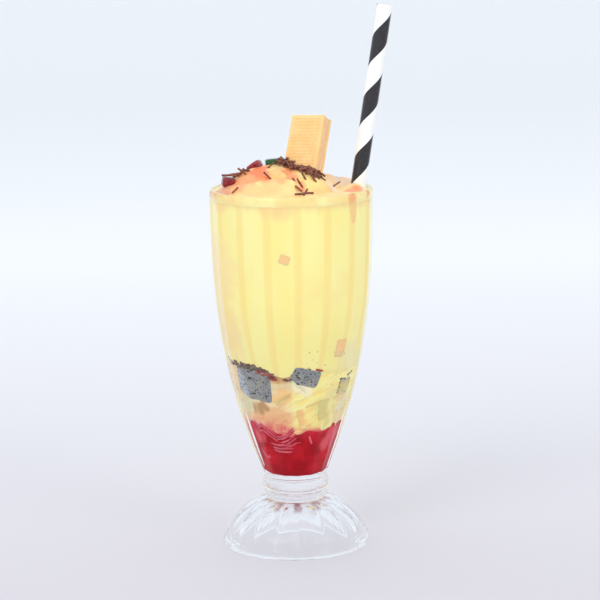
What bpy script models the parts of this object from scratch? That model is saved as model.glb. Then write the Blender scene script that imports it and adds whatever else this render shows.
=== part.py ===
"""A mango falooda in its footed soda glass, with a wafer, a paper straw and toppings.

Everything is modelled round the glass's axis, in metres with +Z up, and hangs from one
empty that shifts it sideways, so that the origin is the middle of the whole thing's base.
The front is -Y. An angle round the glass is counted from the front towards +X.
"""
import math
import random

import bmesh
import bpy
from mathutils import Matrix, Vector

MM = 0.001
DEGREE = math.radians(1)
GAP = 0.3 * MM                      # air left between neighbours that touch

# the glass: a pressed soda glass with panels on its bowl and on its foot
GLASS_HEIGHT = 192 * MM
RIM_RADIUS = 43 * MM
RIM_WALL = 3 * MM
RIM_BAND = 4 * MM                   # plain band above the panels
BOWL_BASE_RADIUS = 16.6 * MM
BOWL_BASE_HEIGHT = 38 * MM
BOWL_FLARE = 2.5                    # how soon the bowl turns upright: the power of its curve
WELL_DEPTH_SHARE = 0.60             # inside radius as a share of the outside one, low down
WELL_FROM, WELL_TO = 56 * MM, 136 * MM
WELL_FLOOR = 38.7 * MM
WELL_CORNER = (7 * MM, 4.5 * MM)    # the rounding of its floor: across and up
KNOP_RADIUS, KNOP_HEIGHT, KNOP_HALF = 17.6 * MM, 33.4 * MM, 3.8 * MM
COLLAR_RADIUS, COLLAR_HEIGHT, COLLAR_HALF = 16.8 * MM, 27.4 * MM, 2.5 * MM
RING_BULGE = 1.9 * MM
FOOT_RADIUS = 39.6 * MM
FOOT_HEIGHT = 24.6 * MM
FOOT_EDGE = 2.4 * MM
FOOT_TOP_RADIUS = 15.4 * MM
FOOT_BELL = (1.9, 0.85)             # powers of the bell's curve, by the edge and by the stem
FOOT_HOLLOW_RADIUS = 34 * MM
FOOT_HOLLOW_HEIGHT = 22 * MM
PANELS = 16
PANEL_TURN = 4.3 * DEGREE           # the panel edge next to the front
PANEL_HOLLOW = 1.25                 # 1 is a flat panel, more is a hollow one
PANEL_RUN_OUT = (8 * MM, 6 * MM)    # how slowly a panel ends, by the stem and by the rim
FOOT_PANEL_DEPTH = 1.8              # how much deeper the foot's panels are
FOOT_PLAIN_EDGE = (3 * MM, 9 * MM)  # they fade out between these heights, above a plain edge
SEGMENTS = 48

# the contents, from the bottom up
ROSE_TOP = 66.3 * MM
CREAM_TOP = 98.5 * MM
DRINK_TOP = 187.4 * MM
LAYER_SEGMENTS = 36

# waves in the tops of the layers, at the wall: their height, angle and width
ROSE_WAVES = [(-3.6 * MM, -8 * DEGREE, 16 * DEGREE), (-2.0 * MM, 47 * DEGREE, 13 * DEGREE),
              (1.4 * MM, 100 * DEGREE, 40 * DEGREE), (0.8 * MM, -90 * DEGREE, 40 * DEGREE)]
CREAM_WAVES = [(2.6 * MM, -58 * DEGREE, 30 * DEGREE), (1.8 * MM, 14 * DEGREE, 15 * DEGREE),
               (-2.4 * MM, -10 * DEGREE, 12 * DEGREE), (1.0 * MM, 140 * DEGREE, 35 * DEGREE)]

# the heap of cream on top: a scoop, with a folded lip in front and a dollop behind on the right;
# the lip's crest is given by its angles in degrees, and its radii and rises in millimetres
HEAP_EDGE = 190.9 * MM
HEAP_RISE = 13.2 * MM
HEAP_MIDDLE = (-7 * MM, 3 * MM)
HEAP_REACH = (33 * MM, 31 * MM)
HEAP_ROUND = 0.9
HEAP_LEVELS_OUT = (35 * MM, 39.7 * MM)
FOLDS, FOLD_HEIGHT, FOLD_TWIST = 3, 0.4 * MM, 6 * MM
LIP = [(-90, 37, 0), (-75, 36, 0.8), (-65, 34, 1.4), (-50, 30, 2.2), (-40, 27, 2.2), (-28, 24.5, 2.6),
       (-8, 22, 3.4), (8, 22.5, 2.6), (16, 27, 2.4), (26, 31, 1.0), (38, 34, 0)]
LIP_INNER, LIP_OUTER = 2.6 * MM, 8 * MM     # the lip is steep on its inside and gentle towards the rim
CREASE_SHARE, CREASE_IN, CREASE_WIDTH = 0.5, 4.6 * MM, 2.2 * MM
DOLLOP_RISE, DOLLOP_PLACE, DOLLOP_WIDTH = 4.6 * MM, (27 * MM, 13 * MM), 11 * MM

# the straw: standard paper straw, leaning on the rim
STRAW_RADIUS = 4 * MM
STRAW_WALL = 0.45 * MM
STRAW_LENGTH = 197 * MM
STRAW_LEAN = 8.9 * DEGREE
STRAW_TOP = (50.1 * MM, 2 * MM, 286.8 * MM)
STRAW_SIDES = 24

# the wafer: two sheets with a filling between them
WAFER_WIDTH = 19.3 * MM
WAFER_LENGTH = 48 * MM
WAFER_SHEET = 2.2 * MM
WAFER_FILLING = 4.6 * MM
WAFER_TOP = (11.5 * MM, 13 * MM, 227.3 * MM)
WAFER_LEAN_BACK = 23 * DEGREE
WAFER_TILT = 10.7 * DEGREE
WAFER_TURN = 31 * DEGREE
WAFER_EDGE = 0.35 * MM
FILLING_INSET = 0.4 * MM

# the chocolate strands: a dense band before the wafer, a tuft on the left and single ones
STRAND_RADIUS = 0.52 * MM
STRAND_LENGTH = 5 * MM
STRAND_LIFT = 0.1 * MM
BAND_STRANDS, BAND_FROM, BAND_TO = 32, (-8.5 * MM, -0.5 * MM), (15.5 * MM, -10 * MM)
TUFT_STRANDS, TUFT_FROM, TUFT_TO = 8, (-34 * MM, 1.5 * MM), (-26 * MM, -2.5 * MM)
SEED = 11

# the straw leans out past the rim, so the glass stands a little left of the middle
STRAW_REACH = STRAW_TOP[0] + STRAW_RADIUS * math.cos(STRAW_LEAN)
AXIS_X = -(STRAW_REACH - RIM_RADIUS) / 2


# ---------------------------------------------------------------- plain helpers

def smooth_step(low, high, value):
    """0 below low, 1 above high, and a smooth rise between them."""
    share = min(1.0, max(0.0, (value - low) / (high - low)))
    return share * share * (3 - 2 * share)


def hump(off, width):
    """1 in the middle, falling smoothly to 0 at a few widths off it."""
    return math.exp(-(off / width) ** 2)


def angle_apart(first, second):
    """The angle between two directions round the glass, up to half a turn."""
    return abs((first - second + math.pi) % math.tau - math.pi)


def angle_of(x, y):
    """The angle round the glass, from the front towards +X."""
    return math.atan2(x, -y)


def at_angle(radius, angle, height):
    """The point at a radius, an angle from the front and a height."""
    return Vector((radius * math.sin(angle), -radius * math.cos(angle), height))


def between(start, end, share):
    """The point a share of the way between two points."""
    return [low + (high - low) * share for low, high in zip(start, end)]


def arc(middle, radii, start, end, steps):
    """Points along an arc of an ellipse, as (radius, height) pairs; angles in degrees."""
    points = []
    for step in range(steps + 1):
        turn = math.radians(start + (end - start) * step / steps)
        points.append((middle[0] + radii[0] * math.cos(turn), middle[1] + radii[1] * math.sin(turn)))
    return points


def clear_scene():
    for thing in list(bpy.data.objects):
        bpy.data.objects.remove(thing, do_unlink=True)


def material(name, color, roughness, transmission=0.0):
    made = bpy.data.materials.new(name)
    made.use_nodes = True
    shader = made.node_tree.nodes["Principled BSDF"]
    shader.inputs["Base Color"].default_value = (*color, 1)
    shader.inputs["Roughness"].default_value = roughness
    shader.inputs["Metallic"].default_value = 0.0
    shader.inputs["Transmission Weight"].default_value = transmission
    made.diffuse_color = (*color, 1)
    return made


def add_object(name, bm, finish=None, smooth_below=50):
    """Make an object of a bmesh, hung from the empty."""
    mesh = bpy.data.meshes.new(name)
    bm.to_mesh(mesh)
    bm.free()
    mesh.shade_smooth()
    mesh.set_sharp_from_angle(angle=math.radians(smooth_below))
    made = bpy.data.objects.new(name, mesh)
    bpy.context.collection.objects.link(made)
    made.parent = stand
    if finish:
        mesh.materials.append(finish)
    return made


def as_cutter(made):
    """Keep an object only as the tool of a Boolean."""
    made.hide_render = True
    made.display_type = "WIRE"
    return made


def boolean(target, tool, operation):
    change = target.modifiers.new(operation.title() + " " + tool.name, "BOOLEAN")
    change.operation = operation
    change.solver = "EXACT"
    change.object = tool


def turned(outline, steps, first_angle=0.0):
    """Spin an outline of (radius, height) points once round the axis into a closed shell."""
    bm = bmesh.new()
    verts = [bm.verts.new((radius, 0, height)) for radius, height in outline]
    edges = [bm.edges.new(pair) for pair in zip(verts, verts[1:])]
    bmesh.ops.rotate(bm, cent=(0, 0, 0), matrix=Matrix.Rotation(first_angle, 3, "Z"), verts=verts)
    bmesh.ops.spin(bm, geom=verts + edges, cent=(0, 0, 0), axis=(0, 0, 1),
                   angle=math.tau, steps=steps, use_merge=True)
    bmesh.ops.remove_doubles(bm, verts=bm.verts, dist=0.001 * MM)
    bmesh.ops.recalc_face_normals(bm, faces=bm.faces)
    return bm


# ---------------------------------------------------------------- the glass

def bowl_radius(height):
    """Outside of the bowl: it flares fast from the stem and is upright at the rim."""
    top = GLASS_HEIGHT - 2 * MM
    share = min(1.0, max(0.0, (height - BOWL_BASE_HEIGHT) / (top - BOWL_BASE_HEIGHT)))
    return RIM_RADIUS - (RIM_RADIUS - BOWL_BASE_RADIUS) * (1 - share) ** BOWL_FLARE


def well_radius(height):
    """Inside of the bowl: a thick-walled narrow well that opens to a thin rim."""
    rim_share = (RIM_RADIUS - RIM_WALL) / RIM_RADIUS
    share = WELL_DEPTH_SHARE + (rim_share - WELL_DEPTH_SHARE) * smooth_step(WELL_FROM, WELL_TO, height)
    return bowl_radius(height) * share


def ring_outline(radius, height, half):
    """A moulded ring round the stem, from its lower to its upper edge."""
    return arc((radius - RING_BULGE, height), (RING_BULGE, half), -75, 75, 3)


def foot_outline():
    """The bell of the foot, from its edge up to the stem."""
    points = []
    steps = 6
    for step in range(steps + 1):
        share = 1 - step / steps
        radius = FOOT_TOP_RADIUS + (FOOT_RADIUS - FOOT_TOP_RADIUS) * share
        climb = max(0.0, 1 - share ** FOOT_BELL[0]) ** FOOT_BELL[1]
        points.append((radius, FOOT_EDGE + (FOOT_HEIGHT - FOOT_EDGE) * climb))
    return points


def hollow_outline():
    """The hollow under the foot, from its crown down to the ring that the glass stands on."""
    return arc((0, 0), (FOOT_HOLLOW_RADIUS, FOOT_HOLLOW_HEIGHT), 90, 0, 5)


def hollow_radius(height):
    """The radius of the hollow under the foot at a height."""
    return FOOT_HOLLOW_RADIUS * math.sqrt(max(0.0, 1 - (height / FOOT_HOLLOW_HEIGHT) ** 2))


def well_outline():
    """The inside, from the rim down to the middle of its floor."""
    low = WELL_FLOOR + WELL_CORNER[1]
    heights = [DRINK_TOP + 2 * MM, 172 * MM, 156 * MM] + [step * MM for step in range(145, 49, -9)]
    side = [(well_radius(height), height) for height in heights + [low]]
    corner = arc((well_radius(low) - WELL_CORNER[0], low), WELL_CORNER, 0, -90, 4)
    return side + corner[1:] + [(0, WELL_FLOOR)]


def panel_dip(radius, angle):
    """How far a panel lies inside the circle through its edges."""
    half = math.pi / PANELS
    across = (angle - PANEL_TURN + half) % (2 * half) - half
    from_middle = half - abs(across)
    return radius * (1 - math.cos(half) / math.cos(from_middle)) * PANEL_HOLLOW


def press_panels(bm):
    """Press the panels into the outside of the bowl and of the foot."""
    for vert in bm.verts:
        radius, angle, height = math.hypot(vert.co.x, vert.co.y), angle_of(vert.co.x, vert.co.y), vert.co.z
        if height > BOWL_BASE_HEIGHT + MM:
            if radius < (bowl_radius(height) + well_radius(height)) / 2:
                continue
            by_stem, by_rim = PANEL_RUN_OUT
            depth = smooth_step(GLASS_HEIGHT - RIM_BAND, GLASS_HEIGHT - RIM_BAND - by_rim, height)
            depth *= smooth_step(BOWL_BASE_HEIGHT, BOWL_BASE_HEIGHT + by_stem, height)
        elif radius > max(FOOT_TOP_RADIUS, hollow_radius(height)) + 3 * MM:
            depth = FOOT_PANEL_DEPTH * smooth_step(*FOOT_PLAIN_EDGE, height)
        else:
            continue
        pressed = radius - depth * panel_dip(radius, angle)
        vert.co = at_angle(pressed, angle, height)


def glass_outline():
    bowl_heights = [41.5 * MM, 46 * MM, 54 * MM, 66 * MM, 80 * MM, 98 * MM, 120 * MM,
                    148 * MM, 182 * MM, 188 * MM]
    foot_ring = [(FOOT_HOLLOW_RADIUS + 1.5 * MM, 0), (FOOT_RADIUS - 2 * MM, 0)]
    foot_edge = [(FOOT_RADIUS - 0.4 * MM, 0.6 * MM)]
    bowl = [(bowl_radius(height), height) for height in bowl_heights]
    lip_middle = (RIM_RADIUS - RIM_WALL / 2, GLASS_HEIGHT - RIM_WALL / 2)
    lip = arc(lip_middle, (RIM_WALL / 2, RIM_WALL / 2), 0, 180, 4)
    return (hollow_outline() + foot_ring + foot_edge + foot_outline()
            + ring_outline(COLLAR_RADIUS, COLLAR_HEIGHT, COLLAR_HALF)
            + ring_outline(KNOP_RADIUS, KNOP_HEIGHT, KNOP_HALF)
            + bowl + lip + well_outline())


def make_glass():
    bm = turned(glass_outline(), SEGMENTS, PANEL_TURN - math.pi / 2)
    press_panels(bm)
    return add_object("glass", bm, material("clear glass", (0.93, 0.95, 0.96), 0.02, 1.0), 30)


# ---------------------------------------------------------------- what lies against the wall

def make_wall_tool():
    """The space inside the glass, less the gap: what lies against the wall is trimmed to it."""
    outline = [(0, GLASS_HEIGHT)]
    heights = [GLASS_HEIGHT] + [height * MM for height in range(184, 42, -8)]
    outline += [(well_radius(height) - GAP, height) for height in heights]
    outline.append((0, 44 * MM))
    bm = turned(outline, SEGMENTS, PANEL_TURN - math.pi / 2)
    return as_cutter(add_object("space inside the glass", bm))


def along_wall(angle, height, inset, tip):
    """The place of a piece on the wall: facing out, leaning as the wall does, tipped in its plane."""
    step = 4 * MM
    slope = math.atan2(well_radius(height + step) - well_radius(height - step), 2 * step)
    middle = at_angle(well_radius(height) - inset, angle, height)
    turn = Matrix.Rotation(angle, 4, "Z") @ Matrix.Rotation(slope, 4, "X") @ Matrix.Rotation(tip, 4, "Y")
    return Matrix.Translation(middle) @ turn


def lump(grow, size, angle, height, inset, tip=0.0, bumps=0.0, bump_size=3.2 * MM):
    """A clump of soaked basil seeds, pressed against the wall; grow thickens it all round."""
    bm = bmesh.new()
    bmesh.ops.create_icosphere(bm, subdivisions=3, radius=1.0)
    for vert in bm.verts:
        way = vert.co.normalized()
        boxy = 1 / max(abs(way.x), abs(way.y), abs(way.z)) ** 0.45
        spot = Vector((way.x * size[0], way.y * size[1], way.z * size[2])) * boxy
        ripple = sum(math.sin(math.tau * spot[axis] / bump_size + 1.3 * axis) for axis in range(3)) / 3
        vert.co = spot + way * (bumps * ripple + grow)
    bmesh.ops.transform(bm, matrix=along_wall(angle, height, inset, tip), verts=bm.verts)
    return bm


def block(grow, size, rounding, segments=2):
    """A block with rounded edges round the origin, thickened all round by grow."""
    bm = bmesh.new()
    bmesh.ops.create_cube(bm, size=1.0)
    bmesh.ops.scale(bm, vec=[side + 2 * grow for side in size], verts=bm.verts)
    bmesh.ops.bevel(bm, geom=list(bm.edges), offset=rounding + grow, segments=segments,
                    affect="EDGES", profile=0.5)
    return bm


def chunk(grow, size, angle, height, inset, tip=0.0):
    """A cut cube of fruit against the wall; tip turns it in the plane of the wall."""
    bm = block(grow, size, 0.9 * MM)
    bmesh.ops.transform(bm, matrix=along_wall(angle, height, inset, tip), verts=bm.verts)
    return bm


# name, shape, its size (wide, deep, high), its angle and height, and how far its middle is in
WALL_PIECES = {
    "basil_left": (lump, dict(size=(11.8 * MM, 4.8 * MM, 10.0 * MM), angle=-47 * DEGREE,
                              height=92 * MM, inset=2.2 * MM, bumps=0.45 * MM)),
    "basil_middle": (lump, dict(size=(7.6 * MM, 3.8 * MM, 6.2 * MM), angle=12 * DEGREE,
                                height=96.7 * MM, inset=1.8 * MM, bumps=0.45 * MM)),
    "basil_right": (lump, dict(size=(4.2 * MM, 2.8 * MM, 4.7 * MM), angle=67 * DEGREE,
                               height=89.6 * MM, inset=1.4 * MM, bumps=0.35 * MM)),
    "fruit_yellow": (chunk, dict(size=(7.2 * MM, 6 * MM, 9.6 * MM), angle=16 * DEGREE,
                                 height=74.4 * MM, inset=2.4 * MM, tip=-6 * DEGREE)),
    "fruit_green": (chunk, dict(size=(6 * MM, 5.6 * MM, 15.5 * MM), angle=49 * DEGREE,
                                height=75.2 * MM, inset=2.2 * MM, tip=-9 * DEGREE)),
    "peach_upper": (chunk, dict(size=(6.0 * MM, 5 * MM, 5.4 * MM), angle=-5.5 * DEGREE,
                                height=160 * MM, inset=2.0 * MM, tip=20 * DEGREE)),
    "peach_lower": (chunk, dict(size=(7.0 * MM, 6 * MM, 11 * MM), angle=43.5 * DEGREE,
                                height=112 * MM, inset=2.4 * MM, tip=8 * DEGREE)),
}

WALL_COLORS = {
    "basil_left": (0.28, 0.29, 0.33),
    "basil_middle": (0.28, 0.29, 0.33),
    "basil_right": (0.28, 0.29, 0.33),
    "fruit_yellow": (0.95, 0.66, 0.20),
    "fruit_green": (0.78, 0.76, 0.32),
    "peach_upper": (0.93, 0.52, 0.24),
    "peach_lower": (0.93, 0.52, 0.24),
}


def make_wall_pieces(space):
    """Make each piece, trimmed to the wall, and a slightly larger tool that clears its place."""
    tools = []
    for name, (shape, sizes) in WALL_PIECES.items():
        finish = material(name.replace("_", " "), WALL_COLORS[name], 0.35)
        piece = add_object(name, shape(0.0, **sizes), finish)
        boolean(piece, space, "INTERSECT")
        tools.append(as_cutter(add_object("place of " + name, shape(GAP, **sizes))))
    return tools


# ---------------------------------------------------------------- the layers

def wavy(height, waves, radius, angle):
    """A level that is flat in the middle and runs up and down at the wall."""
    out = radius / well_radius(height)
    rise = sum(tall * hump(angle_apart(angle, middle), width) for tall, middle, width in waves)
    return height + rise * out ** 2


def rose_top(radius, angle):
    """The red layer's top: it dips under the noodles and the green fruit, and climbs the wall."""
    return wavy(ROSE_TOP, ROSE_WAVES, radius, angle)


def cream_top(radius, angle):
    """The pale layer's top, which carries the clumps of basil seed."""
    return wavy(CREAM_TOP, CREAM_WAVES, radius, angle)


def drink_top(radius, angle):
    return DRINK_TOP


def well_floor(radius, angle):
    """The rounded floor of the well, a gap above the glass."""
    across, up = WELL_CORNER
    corner = well_radius(WELL_FLOOR + up) - across
    beyond = min(1.0, max(0.0, (radius + 2 * GAP - corner) / across))
    return WELL_FLOOR + GAP + up * (1 - math.sqrt(1 - beyond ** 2))


def layer(bottom, top, rise, side_rings, cap_rings):
    """One layer across the glass, from a bottom surface plus a gap to a top surface."""
    outline = [(ring / cap_rings, 0) for ring in range(cap_rings)]
    outline += [(1, ring / side_rings) for ring in range(side_rings + 1)]
    outline += [(ring / cap_rings, 1) for ring in range(cap_rings - 1, -1, -1)]
    bm = bmesh.new()
    verts = [bm.verts.new((radius, 0, height)) for radius, height in outline]
    edges = [bm.edges.new(pair) for pair in zip(verts, verts[1:])]
    bmesh.ops.spin(bm, geom=verts + edges, cent=(0, 0, 0), axis=(0, 0, 1),
                   angle=math.tau, steps=LAYER_SEGMENTS, use_merge=True)
    bmesh.ops.remove_doubles(bm, verts=bm.verts, dist=0.0001)
    bmesh.ops.recalc_face_normals(bm, faces=bm.faces)
    for vert in bm.verts:
        share, angle, up = math.hypot(vert.co.x, vert.co.y), angle_of(vert.co.x, vert.co.y), vert.co.z
        low = bottom((well_radius(bottom(0, angle)) - GAP) * share, angle) + rise
        high = top((well_radius(top(0, angle)) - GAP) * share, angle)
        height = low + (high - low) * up
        vert.co = at_angle((well_radius(height) - GAP) * share, angle, height)
    return bm


def make_layers(tools):
    rose = add_object("rose_layer", layer(well_floor, rose_top, 0.0, 5, 4),
                      material("rose syrup jelly", (0.62, 0.01, 0.03), 0.15))
    cream = add_object("cream_layer", layer(rose_top, cream_top, GAP, 5, 4),
                       material("noodle cream", (0.93, 0.74, 0.42), 0.4))
    drink = add_object("mango_drink", layer(cream_top, drink_top, GAP, 11, 3),
                       material("mango drink", (0.98, 0.83, 0.36), 0.35))
    for tool in tools:
        name = tool.name.replace("place of ", "")
        if name in ("fruit_yellow", "fruit_green"):
            boolean(rose, tool, "DIFFERENCE")
        if name not in ("peach_upper", "peach_lower"):
            boolean(cream, tool, "DIFFERENCE")
        if name not in ("fruit_yellow", "fruit_green"):
            boolean(drink, tool, "DIFFERENCE")
    return rose, cream, drink


# ---------------------------------------------------------------- the heap of cream and its toppings

def lip_crest(angle):
    """The radius of the lip's crest at an angle, and how far it rises there."""
    for start, end in zip(LIP, LIP[1:]):
        share = (angle / DEGREE - start[0]) / (end[0] - start[0])
        if 0 <= share <= 1:
            _, radius, rise = between(start, end, share)
            return radius * MM, rise * MM
    return LIP[0][1] * MM, 0.0


def heap_height(x, y):
    """The top of the whipped heap."""
    radius, angle = math.hypot(x, y), angle_of(x, y)
    aside = (x - HEAP_MIDDLE[0]) / HEAP_REACH[0], (y - HEAP_MIDDLE[1]) / HEAP_REACH[1]
    scoop = max(0.0, 1 - aside[0] ** 2 - aside[1] ** 2) ** HEAP_ROUND
    round_scoop = math.atan2(y - HEAP_MIDDLE[1], x - HEAP_MIDDLE[0])
    folds = math.sin(FOLDS * round_scoop + radius / FOLD_TWIST) * 4 * scoop * (1 - scoop)
    crest, rise = lip_crest(angle)
    past = radius - crest
    lip = hump(past, LIP_OUTER if past > 0 else LIP_INNER)
    lip -= CREASE_SHARE * hump(past + CREASE_IN, CREASE_WIDTH)
    dollop = hump(math.hypot(x - DOLLOP_PLACE[0], y - DOLLOP_PLACE[1]), DOLLOP_WIDTH)
    height = HEAP_EDGE + HEAP_RISE * scoop + FOLD_HEIGHT * folds + rise * lip + DOLLOP_RISE * dollop
    edge = smooth_step(*HEAP_LEVELS_OUT, radius)
    return height * (1 - edge) + HEAP_EDGE * edge


def make_heap():
    rings, steps = 16, 48
    edge = well_radius(GLASS_HEIGHT - RIM_WALL) - GAP
    outline = [(0, DRINK_TOP + GAP)]
    outline += [(edge * ring / 4, DRINK_TOP + GAP) for ring in range(1, 5)]
    outline += [(edge * (1 - ring / rings), GLASS_HEIGHT) for ring in range(rings + 1)]
    bm = turned(outline, steps)
    for vert in bm.verts:
        if vert.co.z > DRINK_TOP + 2 * GAP:
            vert.co.z = heap_height(vert.co.x, vert.co.y)
    return add_object("cream_top", bm, material("whipped cream", (0.97, 0.72, 0.42), 0.4))


def topping(grow, size, place, turn, bevel):
    """A cut piece of candied fruit lying in the cream."""
    bm = block(grow, size, bevel)
    turning = Matrix.Rotation(turn[2], 4, "Z") @ Matrix.Rotation(turn[0], 4, "X")
    turning @= Matrix.Rotation(turn[1], 4, "Y")
    x, y, lift = place
    seat = Vector((x, y, heap_height(x, y) + lift))
    bmesh.ops.transform(bm, matrix=Matrix.Translation(seat) @ turning, verts=bm.verts)
    return bm


TOPPINGS = {
    "cherry_left": dict(size=(6.6 * MM, 6 * MM, 5 * MM), place=(-32.8 * MM, -7 * MM, 1.2 * MM),
                        turn=(4 * DEGREE, 8 * DEGREE, 12 * DEGREE), bevel=1.1 * MM),
    "cherry_upper": dict(size=(8 * MM, 6 * MM, 5.4 * MM), place=(-18.6 * MM, 6 * MM, 1.0 * MM),
                         turn=(0, -26 * DEGREE, -14 * DEGREE), bevel=1.2 * MM),
    "green_jelly": dict(size=(8.8 * MM, 5 * MM, 3.6 * MM), place=(-9.4 * MM, 4 * MM, 1.5 * MM),
                        turn=(0, -4 * DEGREE, 10 * DEGREE), bevel=0.9 * MM),
}

TOPPING_COLORS = {
    "cherry_left": (0.50, 0.01, 0.03),
    "cherry_upper": (0.50, 0.01, 0.03),
    "green_jelly": (0.02, 0.16, 0.03),
}


def make_toppings():
    tools = []
    for name, sizes in TOPPINGS.items():
        add_object(name, topping(0.0, **sizes), material(name.replace("_", " "), TOPPING_COLORS[name], 0.2))
        tools.append(as_cutter(add_object("place of " + name, topping(GAP, **sizes))))
    return tools


# ---------------------------------------------------------------- the wafer and the straw

def hang_wafer(made):
    """Stand a wafer piece in the heap: turned, leant back and tilted, with its top end in place."""
    made.rotation_mode = "ZXY"
    made.rotation_euler = (-WAFER_LEAN_BACK, WAFER_TILT, -WAFER_TURN)
    made.location = WAFER_TOP


def wafer_slab(depth, middle_depth, grow=0.0, inset=0.0):
    """One flat layer of the wafer, hanging down from its top end."""
    bm = bmesh.new()
    bmesh.ops.create_cube(bm, size=1.0)
    size = (WAFER_WIDTH - 2 * inset + 2 * grow, depth + 2 * grow, WAFER_LENGTH - 2 * inset + 2 * grow)
    bmesh.ops.scale(bm, vec=size, verts=bm.verts)
    if grow == 0:
        bmesh.ops.bevel(bm, geom=list(bm.edges), offset=WAFER_EDGE, segments=1, affect="EDGES")
    bmesh.ops.translate(bm, vec=(0, middle_depth, -WAFER_LENGTH / 2), verts=bm.verts)
    return bm


def make_wafer():
    step = (WAFER_SHEET + WAFER_FILLING) / 2 + GAP
    sheet = material("wafer sheet", (0.96, 0.66, 0.36), 0.75)
    filling = material("wafer filling", (0.97, 0.80, 0.62), 0.6)
    pieces = [
        add_object("wafer_front", wafer_slab(WAFER_SHEET, -step), sheet),
        add_object("wafer_filling", wafer_slab(WAFER_FILLING, 0, inset=FILLING_INSET), filling),
        add_object("wafer_back", wafer_slab(WAFER_SHEET, step), sheet),
    ]
    whole = 2 * (WAFER_SHEET + GAP) + WAFER_FILLING
    tool = as_cutter(add_object("place of wafer", wafer_slab(whole, 0, grow=GAP)))
    for piece in pieces + [tool]:
        hang_wafer(piece)
    return tool


def straw_low_end():
    down = Vector((-math.sin(STRAW_LEAN), 0, -math.cos(STRAW_LEAN)))
    return Vector(STRAW_TOP) + down * STRAW_LENGTH


def make_straw():
    inner = STRAW_RADIUS - STRAW_WALL
    outline = [(inner, 0), (STRAW_RADIUS, 0), (STRAW_RADIUS, STRAW_LENGTH), (inner, STRAW_LENGTH), (inner, 0)]
    finish = material("paper straw", (0.86, 0.85, 0.82), 0.5)
    straw = add_object("straw", turned(outline, STRAW_SIDES), finish)
    room = STRAW_RADIUS + GAP
    outline = [(0, -GAP), (room, -GAP), (room, STRAW_LENGTH), (0, STRAW_LENGTH)]
    tool = as_cutter(add_object("place of straw", turned(outline, STRAW_SIDES)))
    for piece in (straw, tool):
        piece.rotation_euler = (0, STRAW_LEAN, 0)
        piece.location = straw_low_end()
    return tool


# ---------------------------------------------------------------- the chocolate strands

def wafer_frame():
    """The wafer's place as a matrix, to keep the strands clear of it."""
    turning = Matrix.Rotation(WAFER_TILT, 4, "Y") @ Matrix.Rotation(-WAFER_LEAN_BACK, 4, "X")
    turning @= Matrix.Rotation(-WAFER_TURN, 4, "Z")
    return Matrix.Translation(WAFER_TOP) @ turning


def strand_spots():
    """Where the strands lie, as their place, their turn and how steeply they lean."""
    draw = random.Random(SEED)
    spots = []
    for index in range(BAND_STRANDS):
        x, y = between(BAND_FROM, BAND_TO, index / (BAND_STRANDS - 1))
        x += draw.uniform(-1, 1) * MM
        y += draw.uniform(-2.4, 1.4) * MM
        spots.append((x, y, draw.uniform(0, math.pi), draw.uniform(-0.5, 0.5)))
    for index in range(TUFT_STRANDS):
        x, y = between(TUFT_FROM, TUFT_TO, index / (TUFT_STRANDS - 1))
        y += draw.uniform(-1, 1) * MM
        spots.append((x, y, draw.uniform(-0.6, 0.6), draw.uniform(-0.7, 0.1)))
    singles = [(-29, -19.9, 0), (-12.2, -13.8, -1.0), (-10.9, -4.2, 1.3), (2.2, -19, -1.3),
               (4.7, -17.5, -1.0), (6.8, -12, -1.3), (11.2, -11, -1.1), (4, -27.4, -0.8),
               (6.5, -32, -0.2), (7.6, -25.4, 1.3), (22, -2, 0.9), (-22, 14, 0.3), (-4, 22, 1.3),
               (9, 26, -0.4)]
    spots += [(x * MM, y * MM, turn, draw.uniform(-0.1, 0.1)) for x, y, turn in singles]
    return spots


def lie_along_heap(x, y, turn, pitch):
    """The direction of a strand that lies on the heap at a point, pitched up or down a little."""
    step = 0.5 * MM
    way = Vector((math.cos(turn), math.sin(turn), 0))
    ahead = heap_height(x + step * way.x, y + step * way.y)
    behind = heap_height(x - step * way.x, y - step * way.y)
    way.z = (ahead - behind) / (2 * step)
    way.normalize()
    return Matrix.Rotation(pitch, 3, way.cross(Vector((0, 0, 1)))) @ way


def make_strands(places):
    """Chocolate strands, each half sunk in the cream, gathered in a collection of their own."""
    gathered = bpy.data.collections.new("chocolate strands")
    wafer = wafer_frame().inverted()
    room = Vector((WAFER_WIDTH, 2 * (WAFER_SHEET + GAP) + WAFER_FILLING, 2 * WAFER_LENGTH)) / 2
    draw = random.Random(SEED + 1)
    outward = wafer_frame().to_3x3() @ Vector((0, -1, 0))
    for index, (x, y, turn, pitch) in enumerate(places):
        length = STRAND_LENGTH * draw.uniform(0.8, 1.15)
        way = lie_along_heap(x, y, turn, pitch)
        middle = Vector((x, y, heap_height(x, y) + STRAND_LIFT))
        clear = abs(way.dot(outward)) * length / 2 + STRAND_RADIUS + 2 * GAP
        in_wafer = wafer @ middle
        short = room.y + clear - abs(in_wafer.y)
        if abs(in_wafer.x) < room.x + length / 2 and short > 0:
            middle += short * outward
            middle.z = heap_height(middle.x, middle.y) + STRAND_LIFT
        bm = bmesh.new()
        bmesh.ops.create_cone(bm, cap_ends=True, segments=5, radius1=STRAND_RADIUS,
                              radius2=STRAND_RADIUS, depth=length)
        lie = way.to_track_quat("Z", "Y").to_matrix().to_4x4()
        bmesh.ops.transform(bm, matrix=Matrix.Translation(middle) @ lie, verts=bm.verts)
        made = add_object("strand %d" % index, bm)
        bpy.context.collection.objects.unlink(made)
        gathered.objects.link(made)
    return gathered


def apply_modifiers(made):
    """Turn an object's evaluated mesh into its own mesh, without its modifiers."""
    bpy.context.view_layer.update()
    shape = made.evaluated_get(bpy.context.evaluated_depsgraph_get())
    mesh = bpy.data.meshes.new_from_object(shape)
    made.modifiers.clear()
    made.data = mesh


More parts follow.
